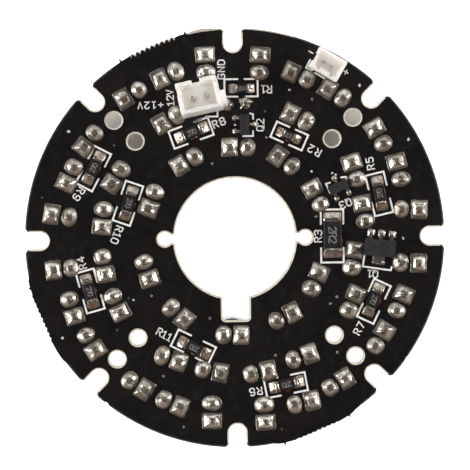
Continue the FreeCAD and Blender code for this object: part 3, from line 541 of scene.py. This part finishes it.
GLYPHS = {
    "0": [[(.15, 0), (.45, 0), (.6, .18), (.6, .82), (.45, 1), (.15, 1), (0, .82), (0, .18), (.15, 0)]],
    "1": [[(.08, .80), (.32, 1), (.32, 0)], [(.10, 0), (.54, 0)]],
    "2": [[(0, .80), (.14, 1), (.46, 1), (.6, .82), (.6, .62), (0, 0), (.62, 0)]],
    "3": [[(0, .86), (.14, 1), (.46, 1), (.6, .86), (.6, .66), (.44, .53), (.22, .53)], [(.44, .53), (.6, .38), (.6, .15), (.46, 0), (.14, 0), (0, .15)]],
    "4": [[(.46, 0), (.46, 1), (0, .30), (.64, .30)]],
    "5": [[(.58, 1), (.05, 1), (.05, .58), (.42, .60), (.6, .44), (.6, .15), (.45, 0), (.12, 0), (0, .14)]],
    "6": [[(.56, .90), (.43, 1), (.15, 1), (0, .80), (0, .15), (.15, 0), (.45, 0), (.6, .15), (.6, .42), (.45, .57), (.12, .57), (0, .44)]],
    "7": [[(0, 1), (.6, 1), (.22, 0)]],
    "8": [[(.15, .53), (0, .67), (0, .87), (.15, 1), (.45, 1), (.6, .87), (.6, .67), (.45, .53), (.15, .53), (0, .39), (0, .13), (.15, 0), (.45, 0), (.6, .13), (.6, .39), (.45, .53)]],
    "9": [[(.04, .10), (.17, 0), (.45, 0), (.6, .20), (.6, .85), (.45, 1), (.15, 1), (0, .85), (0, .58), (.15, .43), (.48, .43), (.6, .56)]],
    "R": [[(0, 0), (0, 1), (.42, 1), (.58, .87), (.58, .66), (.42, .52), (0, .52)], [(.28, .52), (.60, 0)]],
    "Q": [[(.15, 0), (.45, 0), (.6, .18), (.6, .82), (.45, 1), (.15, 1), (0, .82), (0, .18), (.15, 0)], [(.36, .26), (.62, -.04)]],
    "G": [[(.60, .82), (.45, 1), (.15, 1), (0, .82), (0, .18), (.15, 0), (.45, 0), (.6, .18), (.6, .48), (.34, .48)]],
    "N": [[(0, 0), (0, 1), (.6, 0), (.6, 1)]],
    "D": [[(0, 0), (0, 1), (.36, 1), (.6, .78), (.6, .22), (.36, 0), (0, 0)]],
    "V": [[(0, 1), (.3, 0), (.6, 1)]],
    "+": [[(.3, .20), (.3, .80)], [(0, .5), (.6, .5)]],
    "-": [[(0, .5), (.6, .5)]],
}


def write(out, text, x, y, deg, h, w, z0, z1, pitch=None, middle=True, wide=1.0):
    """Stroke lettering. x, y is the middle of the first glyph, or of the whole text."""
    pitch = 0.88 * h if pitch is None else pitch
    start = -(len(text) - 1) * pitch / 2 if middle else 0.0
    for i, ch in enumerate(text):
        for line in GLYPHS[ch]:
            pts = []
            for gx, gy in line:
                lx = start + i * pitch + (gx - 0.30) * h * wide
                ly = (gy - 0.5) * h
                X, Y = rot(lx, ly, deg)
                pts.append((x + X, y + Y))
            ribbon(out, pts, w, z0, z1, ncap=4)


# ----------------------------------------------------------------- solder joints
def square_inner(half):
    def f(a):
        return half / np.maximum(np.abs(np.cos(a)), np.abs(np.sin(a)))
    return f


def ease(t, a, b):
    q = np.clip((t - a) / (b - a), 0, 1)
    return q * q * (3 - 2 * q)


def make_joints():
    squares, rounds = Build(), Build()
    k = 0
    for (x, y, deg) in OUTER + MIDDLE + INNER:
        u = math.radians(deg)
        dx, dy = PITCH / 2 * math.cos(u), PITCH / 2 * math.sin(u)
        for kind, out, s in (("square", squares, 1), ("oval", rounds, -1)):
            seed = 500 + 2 * k + (s < 0)
            r = np.random.RandomState(seed)
            ph = r.uniform(0, 6.28, 4)
            if kind == "square":
                ax, ay, e = 1.17 * r.uniform(0.96, 1.01), 1.46 * r.uniform(0.93, 1.005), r.uniform(9.0, 22.0)
                brim = r.uniform(0.16, 0.26)
                bend = r.uniform(0.90, 1.45)          # over 1: the faces are hollow
                bulge = 0.0
            else:
                ax, ay, e = 1.10 * r.uniform(0.96, 1.06), 1.42 * r.uniform(0.87, 1.02), r.uniform(2.0, 2.6)
                brim = r.uniform(0.13, 0.22)
                bend = r.uniform(1.0, 1.3)
                bulge = r.uniform(0.0, 0.85)
            h = r.uniform(0.42, 0.60)
            wick = r.uniform(0.22, 0.40)
            tx, ty = r.uniform(-0.10, 0.10, 2)
            amp, amp2 = r.uniform(0.025, 0.075), r.uniform(0.003, 0.014)
            tears = r.uniform(0.0, 1.0)
            dent = r.uniform(0, 6.28)

            def radius(a):
                q = (np.abs(np.cos(a) / ax) ** e + np.abs(np.sin(a) / ay) ** e) ** (-1 / e)
                return q * (1 + 0.010 * np.sin(3 * a + ph[0]) + 0.010 * np.sin(5 * a + ph[1]) - 0.006)

            def height(t, px, py, a):
                v = np.clip((t - brim) / (1 - brim), 0, 1)
                f = (1 - bulge) * v ** bend + bulge * (1 - (1 - v) ** 1.8)
                z = 0.006 + 0.060 * min(1.0, t / brim) + h * f + wick * np.clip((t - 0.72) / 0.28, 0, 1) ** 2
                mid = ease(np.full_like(px, t), brim * 0.8, brim + 0.28) * (1 - ease(np.full_like(px, t), 0.80, 0.97))
                z = z + (tx * px + ty * py) * mid
                z = z + (amp * lumps(px + x, py + y, seed + 900, 1.15) + amp2 * lumps(px + x, py + y, seed + 2900, 0.42)) * mid
                # a pit or a ridge on one face
                w = np.exp(-((np.angle(np.exp(1j * (a - dent)))) / 0.35) ** 2)
                z = z + (0.10 if tears > 0.7 else -0.07) * w * mid * (tears > 0.35)
                return np.clip(z, 0.004, 1.02)

            polar_form(out, x + s * dx, y + s * dy, deg, Z_TOP, 1, radius, square_inner(0.243), height, 0.05 + h + wick - 0.02, 56, 20, keep=COLLAR_R)
        k += 1
    squares.make("square_pad_joints", MATS["solder"], slot="solder", replaces=["led_square_pad_solder"])
    rounds.make("oval_pad_joints", MATS["solder"], slot="solder", replaces=["led_round_pad_solder"])


def make_chip_fillets():
    out = Build()
    k = 0
    for (name, x, y, deg, L, W, H) in CHIPS:
        fl = FILLET_L.get(name, 0.95)
        hw = W / 2 + 0.05
        for side in (0, 180):
            r = np.random.RandomState(3000 + k)
            climb = H * r.uniform(0.80, 0.97)
            p = r.uniform(1.25, 2.1)
            belly = r.uniform(0.06, 0.20)
            off = r.uniform(-0.25, 0.25)
            amp = r.uniform(0.015, 0.04)

            def xf(u, v, fl=fl, hw=hw, L=L):
                px = L / 2 - 0.02 + (fl + 0.02) * u * (1 - 0.03 * np.abs(v) ** 4)
                py = v * (hw - 0.05 * u ** 3)
                return px, py

            def zf(u, v, px, py, climb=climb, p=p, belly=belly, off=off, amp=amp, k=k):
                side_drop = 1 - 0.30 * np.abs(v) ** 3.5
                z = 0.045 + climb * (1 - u) ** p * side_drop + belly * np.sin(np.pi * u) * (1 - (v - off) ** 2 * 0.7)
                edge = np.minimum(1, (1 - np.abs(v)) * 5) * np.minimum(1, (1 - u) * 6)
                z = z + amp * lumps(px * 1.0, py * 1.0, 4000 + k, 0.8) * edge
                return np.maximum(z, 0.03)

            field_form(out, (x, y, deg + side, Z_TOP), zf, xf, 16, 16)
            cap = {2.0: 0.38, 3.2: 0.48, 5.0: 0.60}[L]
            lx, ly = rot(L / 2 - cap / 2 + 0.05, r.uniform(-0.08, 0.08), deg + side)
            pad_blob(out, x + lx, y + ly, deg + side, cap / 2 + 0.02, W / 2 - 0.10, r.uniform(0.06, 0.13), 8000 + k, 3.2,
                     z0=Z_TOP + H - 0.02, lean=(r.uniform(-0.15, 0.05), r.uniform(-0.06, 0.06)), amp=0.035)
            k += 1
    out.make("chip_resistor_joints", CHIP_SOLDER, slot="solder", replaces=["chip_resistor_solder"])


def pad_blob(out, x, y, deg, lx, ly, h, seed, power=2.6, z0=Z_TOP, lean=(0.0, 0.0), amp=0.03, sign=1, tip=0.02):
    """Rounded mound on a small pad."""
    r = np.random.RandomState(seed)
    ph = r.uniform(0, 6.28, 3)

    def radius(a):
        q = (np.abs(np.cos(a) / lx) ** power + np.abs(np.sin(a) / ly) ** power) ** (-1 / power)
        return q * (1 + 0.03 * np.sin(2 * a + ph[0]) + 0.03 * np.sin(3 * a + ph[1]))

    def height(t, px, py, a):
        z = 0.03 + h * (1 - (1 - t) ** 1.8) + (lean[0] * px + lean[1] * py) * min(1, t * 2) + amp * lumps(px, py, seed + 7, 0.7) * math.sin(math.pi * min(1, t + 0.02)) ** 0.7
        return np.maximum(z, 0.02)

    polar_form(out, x, y, deg, z0, sign, radius, lambda a: np.full_like(a, tip), height, 0.03 + h, 32, 9)


def make_small_joints():
    out = Build()
    # three-lead packages
    for seed, (x, y, deg) in ((5100, Q2_POS), (5200, Q3_POS)):
        for i, (s, yy) in enumerate(((-1, -0.95), (-1, 0.95), (1, 0.0))):
            lx, ly = rot(s * 1.36, yy, deg)
            pad_blob(out, x + lx, y + ly, deg, 0.42, 0.40, 0.27, seed + i, 3.0, lean=(0.0, 0.0), amp=0.045)
    # power package: three leads and the tab
    x, y, deg = Q1_POS
    for i, xx in enumerate((-1.5, 0.0, 1.5)):
        lx, ly = rot(xx + 0.08, 2.00, deg)
        pad_blob(out, x + lx, y + ly, deg, 0.57, 0.62, 0.30, 5300 + i, 4.4, lean=(0.0, -0.06), amp=0.075)
    lx, ly = rot(0.0, -2.10, deg)
    pad_blob(out, x + lx, y + ly, deg, 0.98, 0.34, 0.20, 5310, 4.0, amp=0.035)
    out.make("transistor_joints", TAB_TIN, slot="solder", replaces=["transistor_solder"])

    # light sensor: a round blob and a spattered one
    out = Build()
    x, y, deg = SENSOR_POS
    for s, (rad, h, star) in ((-1, (0.90, 0.50, 0.05)), (1, (0.96, 0.42, 0.12))):
        lx, ly = rot(s * SENSOR_PITCH / 2, 0, deg)
        ph = 1.1 if s < 0 else 0.35

        def radius(a, rad=rad, star=star, ph=ph):
            return rad * (1 + star * np.sin(5 * a + ph) + 0.7 * star * np.sin(3 * a + 2 * ph) + 0.55 * star * np.sin(8 * a + ph * 3) + 0.3 * star * np.sin(13 * a + ph) - star * 0.4)

        def height(t, px, py, a, h=h, s=s):
            z = 0.04 + h * (1 - (1 - t) ** (1.7 if s < 0 else 1.1)) + (0.03 if s < 0 else 0.085) * lumps(px, py, 5400 + s, 0.62) * math.sin(math.pi * min(1, t * 1.1)) ** 0.6
            return np.maximum(z, 0.03)

        polar_form(out, x + lx, y + ly, 0, Z_TOP, 1, radius, lambda a: np.full_like(a, 0.22), height, 0.04 + h, 48, 14)
    out.make("light_sensor_joints", TAB_TIN, slot="solder", replaces=["light_sensor_solder"])

    # connector pins, lamp side
    for name, node, rad, h, seed in (("supply_pin_joints", "power_header_solder", 0.86, 0.78, 5500), ("filter_pin_joints", "ircut_header_solder", 0.55, 0.60, 5600)):
        out = Build()
        lo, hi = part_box(node)
        a, b = split_two(node)
        for i, c in enumerate((a, b)):
            r = np.random.RandomState(seed + i)
            ph = r.uniform(0, 6.28)

            def radius(t, rad=rad, ph=ph):
                return rad * (1 + 0.02 * np.sin(2 * t + ph))

            def height(t, px, py, ang, h=h, seed=seed, i=i):
                z = 0.04 + h * (0.45 * t ** 1.5 + 0.55 * (1 - (1 - t) ** 1.7)) * 0.92 + 0.03 * lumps(px, py, seed + i, 0.7) * math.sin(math.pi * min(1, t * 1.1))
                return np.maximum(z, 0.03)

            polar_form(out, c[0], c[1], 0, Z_BOT, -1, radius, lambda q: np.full_like(q, 0.16), height, 0.04 + h * 0.9, 40, 12)
        out.make(name, MATS["solder"], slot="solder", replaces=[node])


def split_two(node):
    """Centres, in millimetres, of a node's two solids where they meet the lamp side of the board."""
    co = np.array([v.co for v in NODES[node].data.vertices], float) / MM
    near = co[np.abs(co[:, 2] - Z_BOT) < 0.02][:, :2]
    c = near.mean(0)
    d = near - c
    axis = np.linalg.svd(d, full_matrices=False)[2][0]
    s = d @ axis
    return near[s < 0].mean(0), near[s > 0].mean(0)


# ------------------------------------------------------------------------ lamps
def lens_profile():
    """Radius and height of a lamp's outer form, flange first; heights below the board's lamp side."""
    pts = [(0.0, -0.03), (2.60, -0.03), (FLANGE_R - 0.03, -0.03), (FLANGE_R, -0.06), (FLANGE_R, -FLANGE_T + 0.03),
           (FLANGE_R - 0.03, -FLANGE_T), (LED_R + 0.05, -FLANGE_T), (LED_R, -FLANGE_T - 0.05), (LED_R, -2.6), (LED_R, -4.3), (LED_R, -(LED_H - LED_R))]
    n = 14
    for i in range(1, n):
        t = i / n * math.pi / 2
        pts.append((LED_R * math.cos(t), -(LED_H - LED_R) - (LED_R - 0.002) * math.sin(t)))
    pts.append((0.0, -LED_H + 0.002))
    return pts


def make_lenses():
    prof = lens_profile()
    n = 56
    a = np.arange(n) * 2 * math.pi / n
    ca, sa = np.cos(a), np.sin(a)
    rows = []
    for (r, z) in prof[1:-1]:
        rr = np.full(n, r)
        if z > -FLANGE_T - 0.01:      # the flat on the flange marks the cathode side
            lim = LED_R + 0.01
            cut = np.where(ca < -1e-6, lim / np.maximum(-ca, 1e-6), 99.0)
            rr = np.minimum(rr, np.maximum(cut, 0))
        rows.append(np.stack([rr * ca, rr * sa, np.full(n, z)], 1))
    base = np.vstack(rows + [np.array([[0, 0, prof[0][1]]]), np.array([[0, 0, prof[-1][1]]])])
    faces = []
    m = len(rows)
    for i in range(m - 1):
        for j in range(n):
            k = (j + 1) % n
            faces.append((i * n + j, (i + 1) * n + j, (i + 1) * n + k, i * n + k))
    for j in range(n):
        k = (j + 1) % n
        faces.append((m * n, j, k))
        faces.append((m * n + 1, (m - 1) * n + k, (m - 1) * n + j))
    for ring, rows_ in (("outer", OUTER), ("middle", MIDDLE), ("inner", INNER)):
        out = Build()
        for (x, y, deg) in rows_:
            X, Y = rot(base[:, 0], base[:, 1], deg)
            if (x, y, deg) == KEY_LAMP:      # its body is moulded off the flange's centre, so little of it shows in the key slot
                Y = np.where(base[:, 2] < -FLANGE_T - 0.02, Y - 0.25, Y)
            out.put(np.stack([X + x, Y + y, base[:, 2] + Z_BOT], 1), faces)
        out.make(ring + "_lamp_lenses", MATS["clear_epoxy"], slot="clear_epoxy", replaces=[ring + "_led_lenses"], angle=24)


def make_bond_wires():
    out = Build()
    path = [(0.05, -4.93), (0.10, -5.16), (0.26, -5.33), (0.46, -5.34), (0.64, -5.16), (0.76, -4.88), (0.80, -4.69)]
    r, ns = 0.022, 6
    for (x, y, deg) in OUTER + MIDDLE + INNER:
        verts, faces = [], []
        for i, (px, pz) in enumerate(path):
            q = path[min(i + 1, len(path) - 1)]
            p = path[max(i - 1, 0)]
            tx, tz = q[0] - p[0], q[1] - p[1]
            l = math.hypot(tx, tz)
            nx, nz = -tz / l, tx / l
            for s in range(ns):
                t = 2 * math.pi * s / ns
                lx, ly, lz = px + nx * r * math.cos(t), r * math.sin(t), pz + nz * r * math.cos(t)
                X, Y = rot(lx, ly, deg)
                verts.append((X + x, Y + y, lz + Z_BOT))
        for i in range(len(path) - 1):
            for s in range(ns):
                t = (s + 1) % ns
                faces.append((i * ns + s, i * ns + t, (i + 1) * ns + t, (i + 1) * ns + s))
        faces.append(tuple(range(ns - 1, -1, -1)))
        faces.append(tuple((len(path) - 1) * ns + s for s in range(ns)))
        out.put(verts, faces)
    out.make("lamp_bond_wires", GOLD)


# ------------------------------------------------------------------------ print
def make_print():
    out = Build()
    z0, z1 = Z_TOP - 0.003, Z_TOP + 0.018
    w = 0.26

    def frame_box(cx, cy, deg, L, W, stub, gaps="both"):
        for s in (-1, 1):
            pts = [(s * (L / 2 - stub), -W / 2), (s * L / 2, -W / 2), (s * L / 2, W / 2), (s * (L / 2 - stub), W / 2)]
            q = []
            for px, py in pts:
                X, Y = rot(px, py, deg)
                q.append((cx + X, cy + Y))
            ribbon(out, q, w, z0, z1)

    for cx, cy, deg, L, W, stub in (
        (1.14, 21.39, 0, 4.72, 2.48, 1.86), (7.92, 14.46, -24.4, 4.86, 2.36, 1.95),
        (13.86, 0.14, -90, 7.55, 3.20, 2.05), (-20.71, -7.22, -75, 5.92, 2.62, 1.98),
        (20.64, 6.05, -77, 5.92, 2.66, 1.98), (6.99, -21.07, 10.5, 5.92, 2.62, 1.98),
        (19.69, -9.26, -115.5, 5.92, 2.60, 1.98), (-6.05, 15.07, 19, 5.92, 2.62, 1.98),
        (-20.00, 10.18, -118, 5.92, 2.62, 1.98), (-15.17, 5.19, -109.5, 5.92, 2.60, 1.98),
        (-6.13, -15.38, -26.4, 5.92, 2.60, 1.98),
    ):
        frame_box(cx, cy, deg, L, W, stub)
    for line in (
        [(18.41, -2.76), (18.17, -4.26), (22.15, -4.88), (22.30, -4.38)],
        [(2.37, 17.74), (2.79, 17.62), (2.79, 16.95)],
        [(2.76, 15.24), (2.75, 14.53), (1.33, 14.53)],
        [(13.61, 6.27), (13.06, 7.56), (13.63, 7.74)],
        [(15.21, 8.47), (15.92, 8.52), (15.98, 8.09)],
        [(-2.25, 18.44), (-2.26, 17.37), (-3.90, 17.36)],
        [(-5.62, 16.63), (-4.55, 17.05)],
        [(11.01, 25.25), (10.43, 24.11), (11.28, 23.75)],
        [(11.70, 23.38), (13.04, 22.58)],
        [(0.18, 16.13), (0.26, 16.13)],
        [(14.42, 8.86), (14.48, 8.88)],
    ):
        ribbon(out, line, w * 0.95, z0, z1)
    sw = 0.165
    for text, x, y, deg, pitch, h in (
        ("R1", 4.73, 21.14, 179.2, 0.84, 0.98), ("R2", 11.48, 12.34, 151.7, 1.14, 0.98), ("R3", 11.84, 0.13, 89.2, 0.95, 0.99),
        ("R4", -21.86, -3.25, 106.0, 0.99, 0.95), ("R5", 19.39, 10.38, 100.2, 1.0, 0.97), ("R6", 2.7, -21.91, 187.8, 1.06, 0.98),
        ("R7", 17.54, -13.12, 61.2, 1.02, 0.97), ("R8", -2.08, 16.47, 21.6, 1.08, 0.98), ("R9", -22.14, 6.61, -124.8, 1.1, 0.98),
        ("R10", -16.81, 0.72, -111.5, 0.9, 0.98), ("R11", -10.23, -13.6, -29.6, 0.79, 0.98), ("Q1", 19.55, -5.36, 176.2, 0.8, 0.97),
        ("Q2", 3.8, 16.07, 89.2, 0.97, 0.99), ("Q3", 15.8, 4.72, 202.9, 0.98, 0.97), ("12V", -8.95, 20.08, 93.8, 0.81, 0.9),
        ("GND", -1.65, 24.04, 89.2, 1.0, 0.95), ("+12V", -11.77, 19.09, 181.1, 0.98, 0.9), ("-", 11.15, 26.31, -30.0, 1.0, 1.0),
        ("+", 16.09, 23.43, -30.0, 1.0, 1.0),
    ):
        write(out, text, x, y, deg, h * 1.03, sw, z0, z1 - 0.001, pitch, wide=1.08)
    out.make("white_print", PRINT_WHITE, smooth=False)

    # values on the chips
    out = Build()
    flip = {"r1": 0, "r2": 180, "r3": 0, "r4": 0, "r5": 180, "r6": 180, "r7": 0, "r8": 0, "r9": 180, "r10": 0, "r11": 180}
    for (name, x, y, deg, L, W, H) in CHIPS:
        z = Z_TOP + H - 0.01
        text = {"r1": "104", "r2": "102", "r3": "2R2"}.get(name, "270")
        hh, ww, pp = {"r1": (0.55, 0.07, 0.36), "r2": (0.55, 0.07, 0.36), "r3": (1.02, 0.125, 0.80)}.get(name, (0.68, 0.085, 0.43))
        write(out, text, x, y, deg + flip[name], hh, ww, z - 0.002, z + 0.006, pp)
    out.make("chip_values", PRINT_GREY, smooth=False)


def make_vias():
    """Plated holes closed with tin, some of them under the mask: a plug through each hole, or a low mound. The pale
    tone of the first row's plugs is painted light, for light seen through open holes.
    """
    rows = [
        ("bright", VIA_PAINTED_LIGHT, [(-23.40, 15.50, .20), (18.01, 21.56, .20), (24.89, 13.80, .19), (-24.75, -13.88, .20), (8.0, 21.01, .16), (14.0, 9.11, .16),
                                (24.0, -0.38, .16), (-14.57, -8.60, .13)]),
        ("dull", VIA_DULL, [(-12.00, -8.06, .19), (-3.71, -11.38, .20), (-10.45, -19.55, .20), (5.55, -16.78, .20), (14.38, -16.46, .20), (14.41, -8.55, .22),
                            (11.22, 19.62, .19), (-3.10, 10.69, .18), (-7.69, -26.85, .18), (13.45, -9.54, .17), (11.65, 2.95, .17), (4.66, 14.30, .17)]),
    ]
    n = 20
    a = np.arange(n) * 2 * math.pi / n
    for name, material, spots in rows:
        out = Build()
        for x, y, ro in spots:
            prof = [(0.010, Z_BOT - 0.016), (ro - 0.04, Z_BOT - 0.012), (ro, Z_BOT - 0.002), (0.150, Z_BOT + 0.003), (0.150, Z_TOP - 0.003),
                    (ro, Z_TOP + 0.002), (ro - 0.04, Z_TOP + 0.013), (0.010, Z_TOP + 0.018)]
            pts = np.vstack([np.stack([x + q * np.cos(a), y + q * np.sin(a), np.full(n, z)], 1) for q, z in prof])
            m = len(prof)
            faces = [tuple(range(n)), tuple(range(m * n - 1, (m - 1) * n - 1, -1))]
            for k in range(m - 1):
                for j in range(n):
                    h = (j + 1) % n
                    faces.append((k * n + h, k * n + j, (k + 1) * n + j, (k + 1) * n + h))
            out.put(pts, [q[::-1] for q in faces])
        if name == "bright":
            pad_blob(out, 11.02, 9.37, 0, 0.18, 0.18, 0.035, 6020, 2.0, amp=0.004, tip=0.01)
        out.make("plated_holes_" + name, material, angle=50)
    out = Build()
    for i, (x, y) in enumerate(((4.51, 18.00), (-15.28, -8.3), (6.33, -27.39), (-16.97, -12.84), (-17.0, 13.44), (-27.33, 6.17))):
        pad_blob(out, x, y, 0, 0.16, 0.16, 0.03, 6000 + i, 2.0, amp=0.004, tip=0.01)
    out.make("plated_holes_masked", VIA_MASKED)


def make_adhesive():
    """Set glue that shows beside the chips."""
    out = Build()
    spots = {"r4": (0.10, 1, 0.46, 0.24), "r7": (0.0, 1, 0.52, 0.34), "r10": (0.1, 1, 0.40, 0.24), "r8": (0.05, -1, 0.55, 0.28), "r11": (0.25, -1, 0.42, 0.28),
             "r6": (0.0, -1, 0.40, 0.34), "r3": (1.2, 1, 0.9, 0.20), "r2": (0.15, -1, 0.42, 0.24), "r9": (0.0, 1, 0.6, 0.16), "r5": (0.0, 1, 0.4, 0.13)}
    for i, (name, x, y, deg, L, W, H) in enumerate(CHIPS):
        if name not in spots:
            continue
        lx, s, rl, rw = spots[name]
        px, py = rot(lx, s * (W / 2 + 0.02), deg)
        pad_blob(out, x + px, y + py, deg, rl, rw, 0.26, 7000 + i, 2.2, amp=0.04)
    out.make("chip_adhesive", ADHESIVE)


# ------------------------------------------------------------- carried-over nodes
def dress_cad():
    slots = {row["node"]: row["material_slot"] for row in frame["record"]["subparts"]}
    for name, ob in NODES.items():
        me = ob.data
        m = TAB_TIN if name == "q1_leads" else MATS[slots[name]]
        if len(me.materials) == 0:
            me.materials.append(m)
        for i in range(len(me.materials)):
            me.materials[i] = m
    widths = {"_body": 0.035, "_end_caps": 0.035, "_package": 0.06, "_header_housing": 0.07, "q1_leads": 0.05, "q2_leads": 0.03, "q3_leads": 0.03, "_header_pins": 0.03}
    for name, ob in NODES.items():
        for key, wd in widths.items():
            if name.endswith(key) and not name.startswith("light_sensor"):
                wm = ob.modifiers.new("weld", "WELD")
                wm.merge_threshold = 2e-6
                bm = ob.modifiers.new("edge", "BEVEL")
                bm.width = wd * MM
                bm.segments = 2
                bm.limit_method = "ANGLE"
                bm.angle_limit = math.radians(30)
                bm.use_clamp_overlap = True


# ---------------------------------------------------------------- floor and light
def make_stage():
    m, nt, b = node_tree("floor_white")
    c = coords(nt)
    nt.links.new(ramp(nt, noise(nt, c, 60, 2.0), [(0.3, 0.70), (0.7, 0.80)]), b.inputs["Roughness"])
    p = xyz(nt, c)
    rr = maths(nt, "SQRT", maths(nt, "ADD", maths(nt, "MULTIPLY", p[0], p[0]), maths(nt, "MULTIPLY", p[1], p[1])))
    under = maths(nt, "MULTIPLY", span(nt, rr, 0.0255, 0.0275, 1.0, 0.0), span(nt, p[1], 0.008, 0.013, 0.0, 1.0))
    # shade under the board's northern half
    nt.links.new(mix(nt, under, (0.86, 0.86, 0.86), (0.52, 0.47, 0.43)), b.inputs["Base Color"])
    nt.links.new(mix(nt, under, (1, 1, 1), (1.0, 0.93, 0.87)), b.inputs["Emission Color"])
    nt.links.new(maths(nt, "SUBTRACT", 0.80, maths(nt, "MULTIPLY", under, span(nt, rr, 0.0198, 0.0250, 0.755, 0.60))), b.inputs["Emission Strength"])
    g = add(nt, "ShaderNodeNewGeometry")
    tr = add(nt, "ShaderNodeBsdfTransparent")
    mx = add(nt, "ShaderNodeMixShader")
    outn = next(n for n in nt.nodes if n.type == "OUTPUT_MATERIAL")
    nt.links.new(g.outputs["Backfacing"], mx.inputs[0])
    nt.links.new(b.outputs[0], mx.inputs[1])
    nt.links.new(tr.outputs[0], mx.inputs[2])
    nt.links.new(mx.outputs[0], outn.inputs["Surface"])
    me = bpy.data.meshes.new("floor")
    s = 2.0
    me.from_pydata([(-s, -s, 0), (s, -s, 0), (s, s, 0), (-s, s, 0)], [], [(0, 1, 2, 3)])
    me.materials.append(m)
    floor = bpy.data.objects.new("floor", me)
    SCENE.collection.objects.link(floor)

    world = bpy.data.worlds.new("studio")
    SCENE.world = world
    world.use_nodes = True
    nt = world.node_tree
    bg = next(n for n in nt.nodes if n.type == "BACKGROUND")
    tc = add(nt, "ShaderNodeTexCoord")
    p = xyz(nt, tc.outputs["Generated"])
    ns = span(nt, p[1], -0.55, 0.45, 0.0, 1.0)
    col = mix(nt, ns, (0.33, 0.26, 0.215), (0.56, 0.555, 0.53))
    top = span(nt, p[2], 0.60, 0.88, 0.0, 1.0)
    col = mix(nt, top, col, (0.085, 0.08, 0.078))
    low = span(nt, p[2], -0.15, 0.0, 1.0, 0.0)
    col = mix(nt, low, col, (0.85, 0.85, 0.85))
    lp = add(nt, "ShaderNodeLightPath")
    col = mix(nt, lp.outputs["Is Camera Ray"], col, (0.93, 0.93, 0.93))
    nt.links.new(col, bg.inputs["Color"])
    bg.inputs["Strength"].default_value = 1.0

    def area(name, az, el, dist, sx, sy, radiance, color=(1, 1, 1)):
        li = bpy.data.lights.new(name, "AREA")
        li.shape = "RECTANGLE"
        li.size, li.size_y = sx, sy
        li.energy = radiance * math.pi * sx * sy
        li.color = color
        ob = bpy.data.objects.new(name, li)
        a, e = math.radians(az), math.radians(el)
        pos = Vector((math.cos(a) * math.cos(e), math.sin(a) * math.cos(e), math.sin(e))) * dist + Vector((0, 0, 0.01))
        ob.location = pos
        ob.rotation_mode = "QUATERNION"
        ob.rotation_quaternion = (-(Vector((0, 0, 0.01)) - pos)).to_track_quat("Z", "Y")
        SCENE.collection.objects.link(ob)
        return ob

    area("box_left", 189, 28, 0.75, 0.27, 0.22, 19.0)
    area("box_right", 9, 28, 0.75, 0.20, 0.18, 19.0)
    area("box_north", 92, 36, 0.85, 0.70, 0.34, 1.0)
    fill = area("fill_top", 90, 88, 0.95, 0.55, 0.55, 6.2)      # for the plastics and the print only
    fill.visible_glossy = False


def make_camera():
    cam = bpy.data.cameras.new("camera")
    ob = bpy.data.objects.new("camera", cam)
    SCENE.collection.objects.link(ob)
    dist = 0.450
    width = 0.06693                     # what the frame spans at the board's upper face
    cam.sensor_width = 36.0
    cam.lens = 36.0 * dist / width
    cam.clip_start, cam.clip_end = 0.01, 10.0
    roll = math.radians(0.75)           # the board lies turned by this, anticlockwise
    up = Vector((math.sin(roll), math.cos(roll), 0))
    aim = Vector((0, 0, Z_TOP * MM)) + up * (3.28 * width / 470)
    tilt = math.radians(2.5)
    side = Vector((-0.45, 0.89, 0)).normalized()
    back = Vector((side.x * math.sin(tilt), side.y * math.sin(tilt), math.cos(tilt)))
    ob.location = aim + back * dist
    # camera axes: back is +Z, up is turned into the picture plane
    z = back.normalized()
    y = (up - z * up.dot(z)).normalized()
    x = y.cross(z)
    from mathutils import Matrix
    m = Matrix((x, y, z)).transposed()
    ob.rotation_mode = "QUATERNION"
    ob.rotation_quaternion = m.to_quaternion()
    SCENE.camera = ob


make_joints()
make_chip_fillets()
make_small_joints()
make_lenses()
make_bond_wires()
make_print()
make_vias()
make_adhesive()
dress_cad()
make_stage()
make_camera()

SCENE.view_settings.view_transform = "Standard"
SCENE.view_settings.look = "None"
SCENE.view_settings.exposure = 0.0
SCENE.view_settings.gamma = 1.0
SCENE.cycles.use_denoising = True
SCENE.cycles.max_bounces = 16
SCENE.cycles.transmission_bounces = 14
SCENE.cycles.transparent_max_bounces = 12
SCENE.cycles.glossy_bounces = 6
SCENE.cycles.sample_clamp_indirect = 6.0
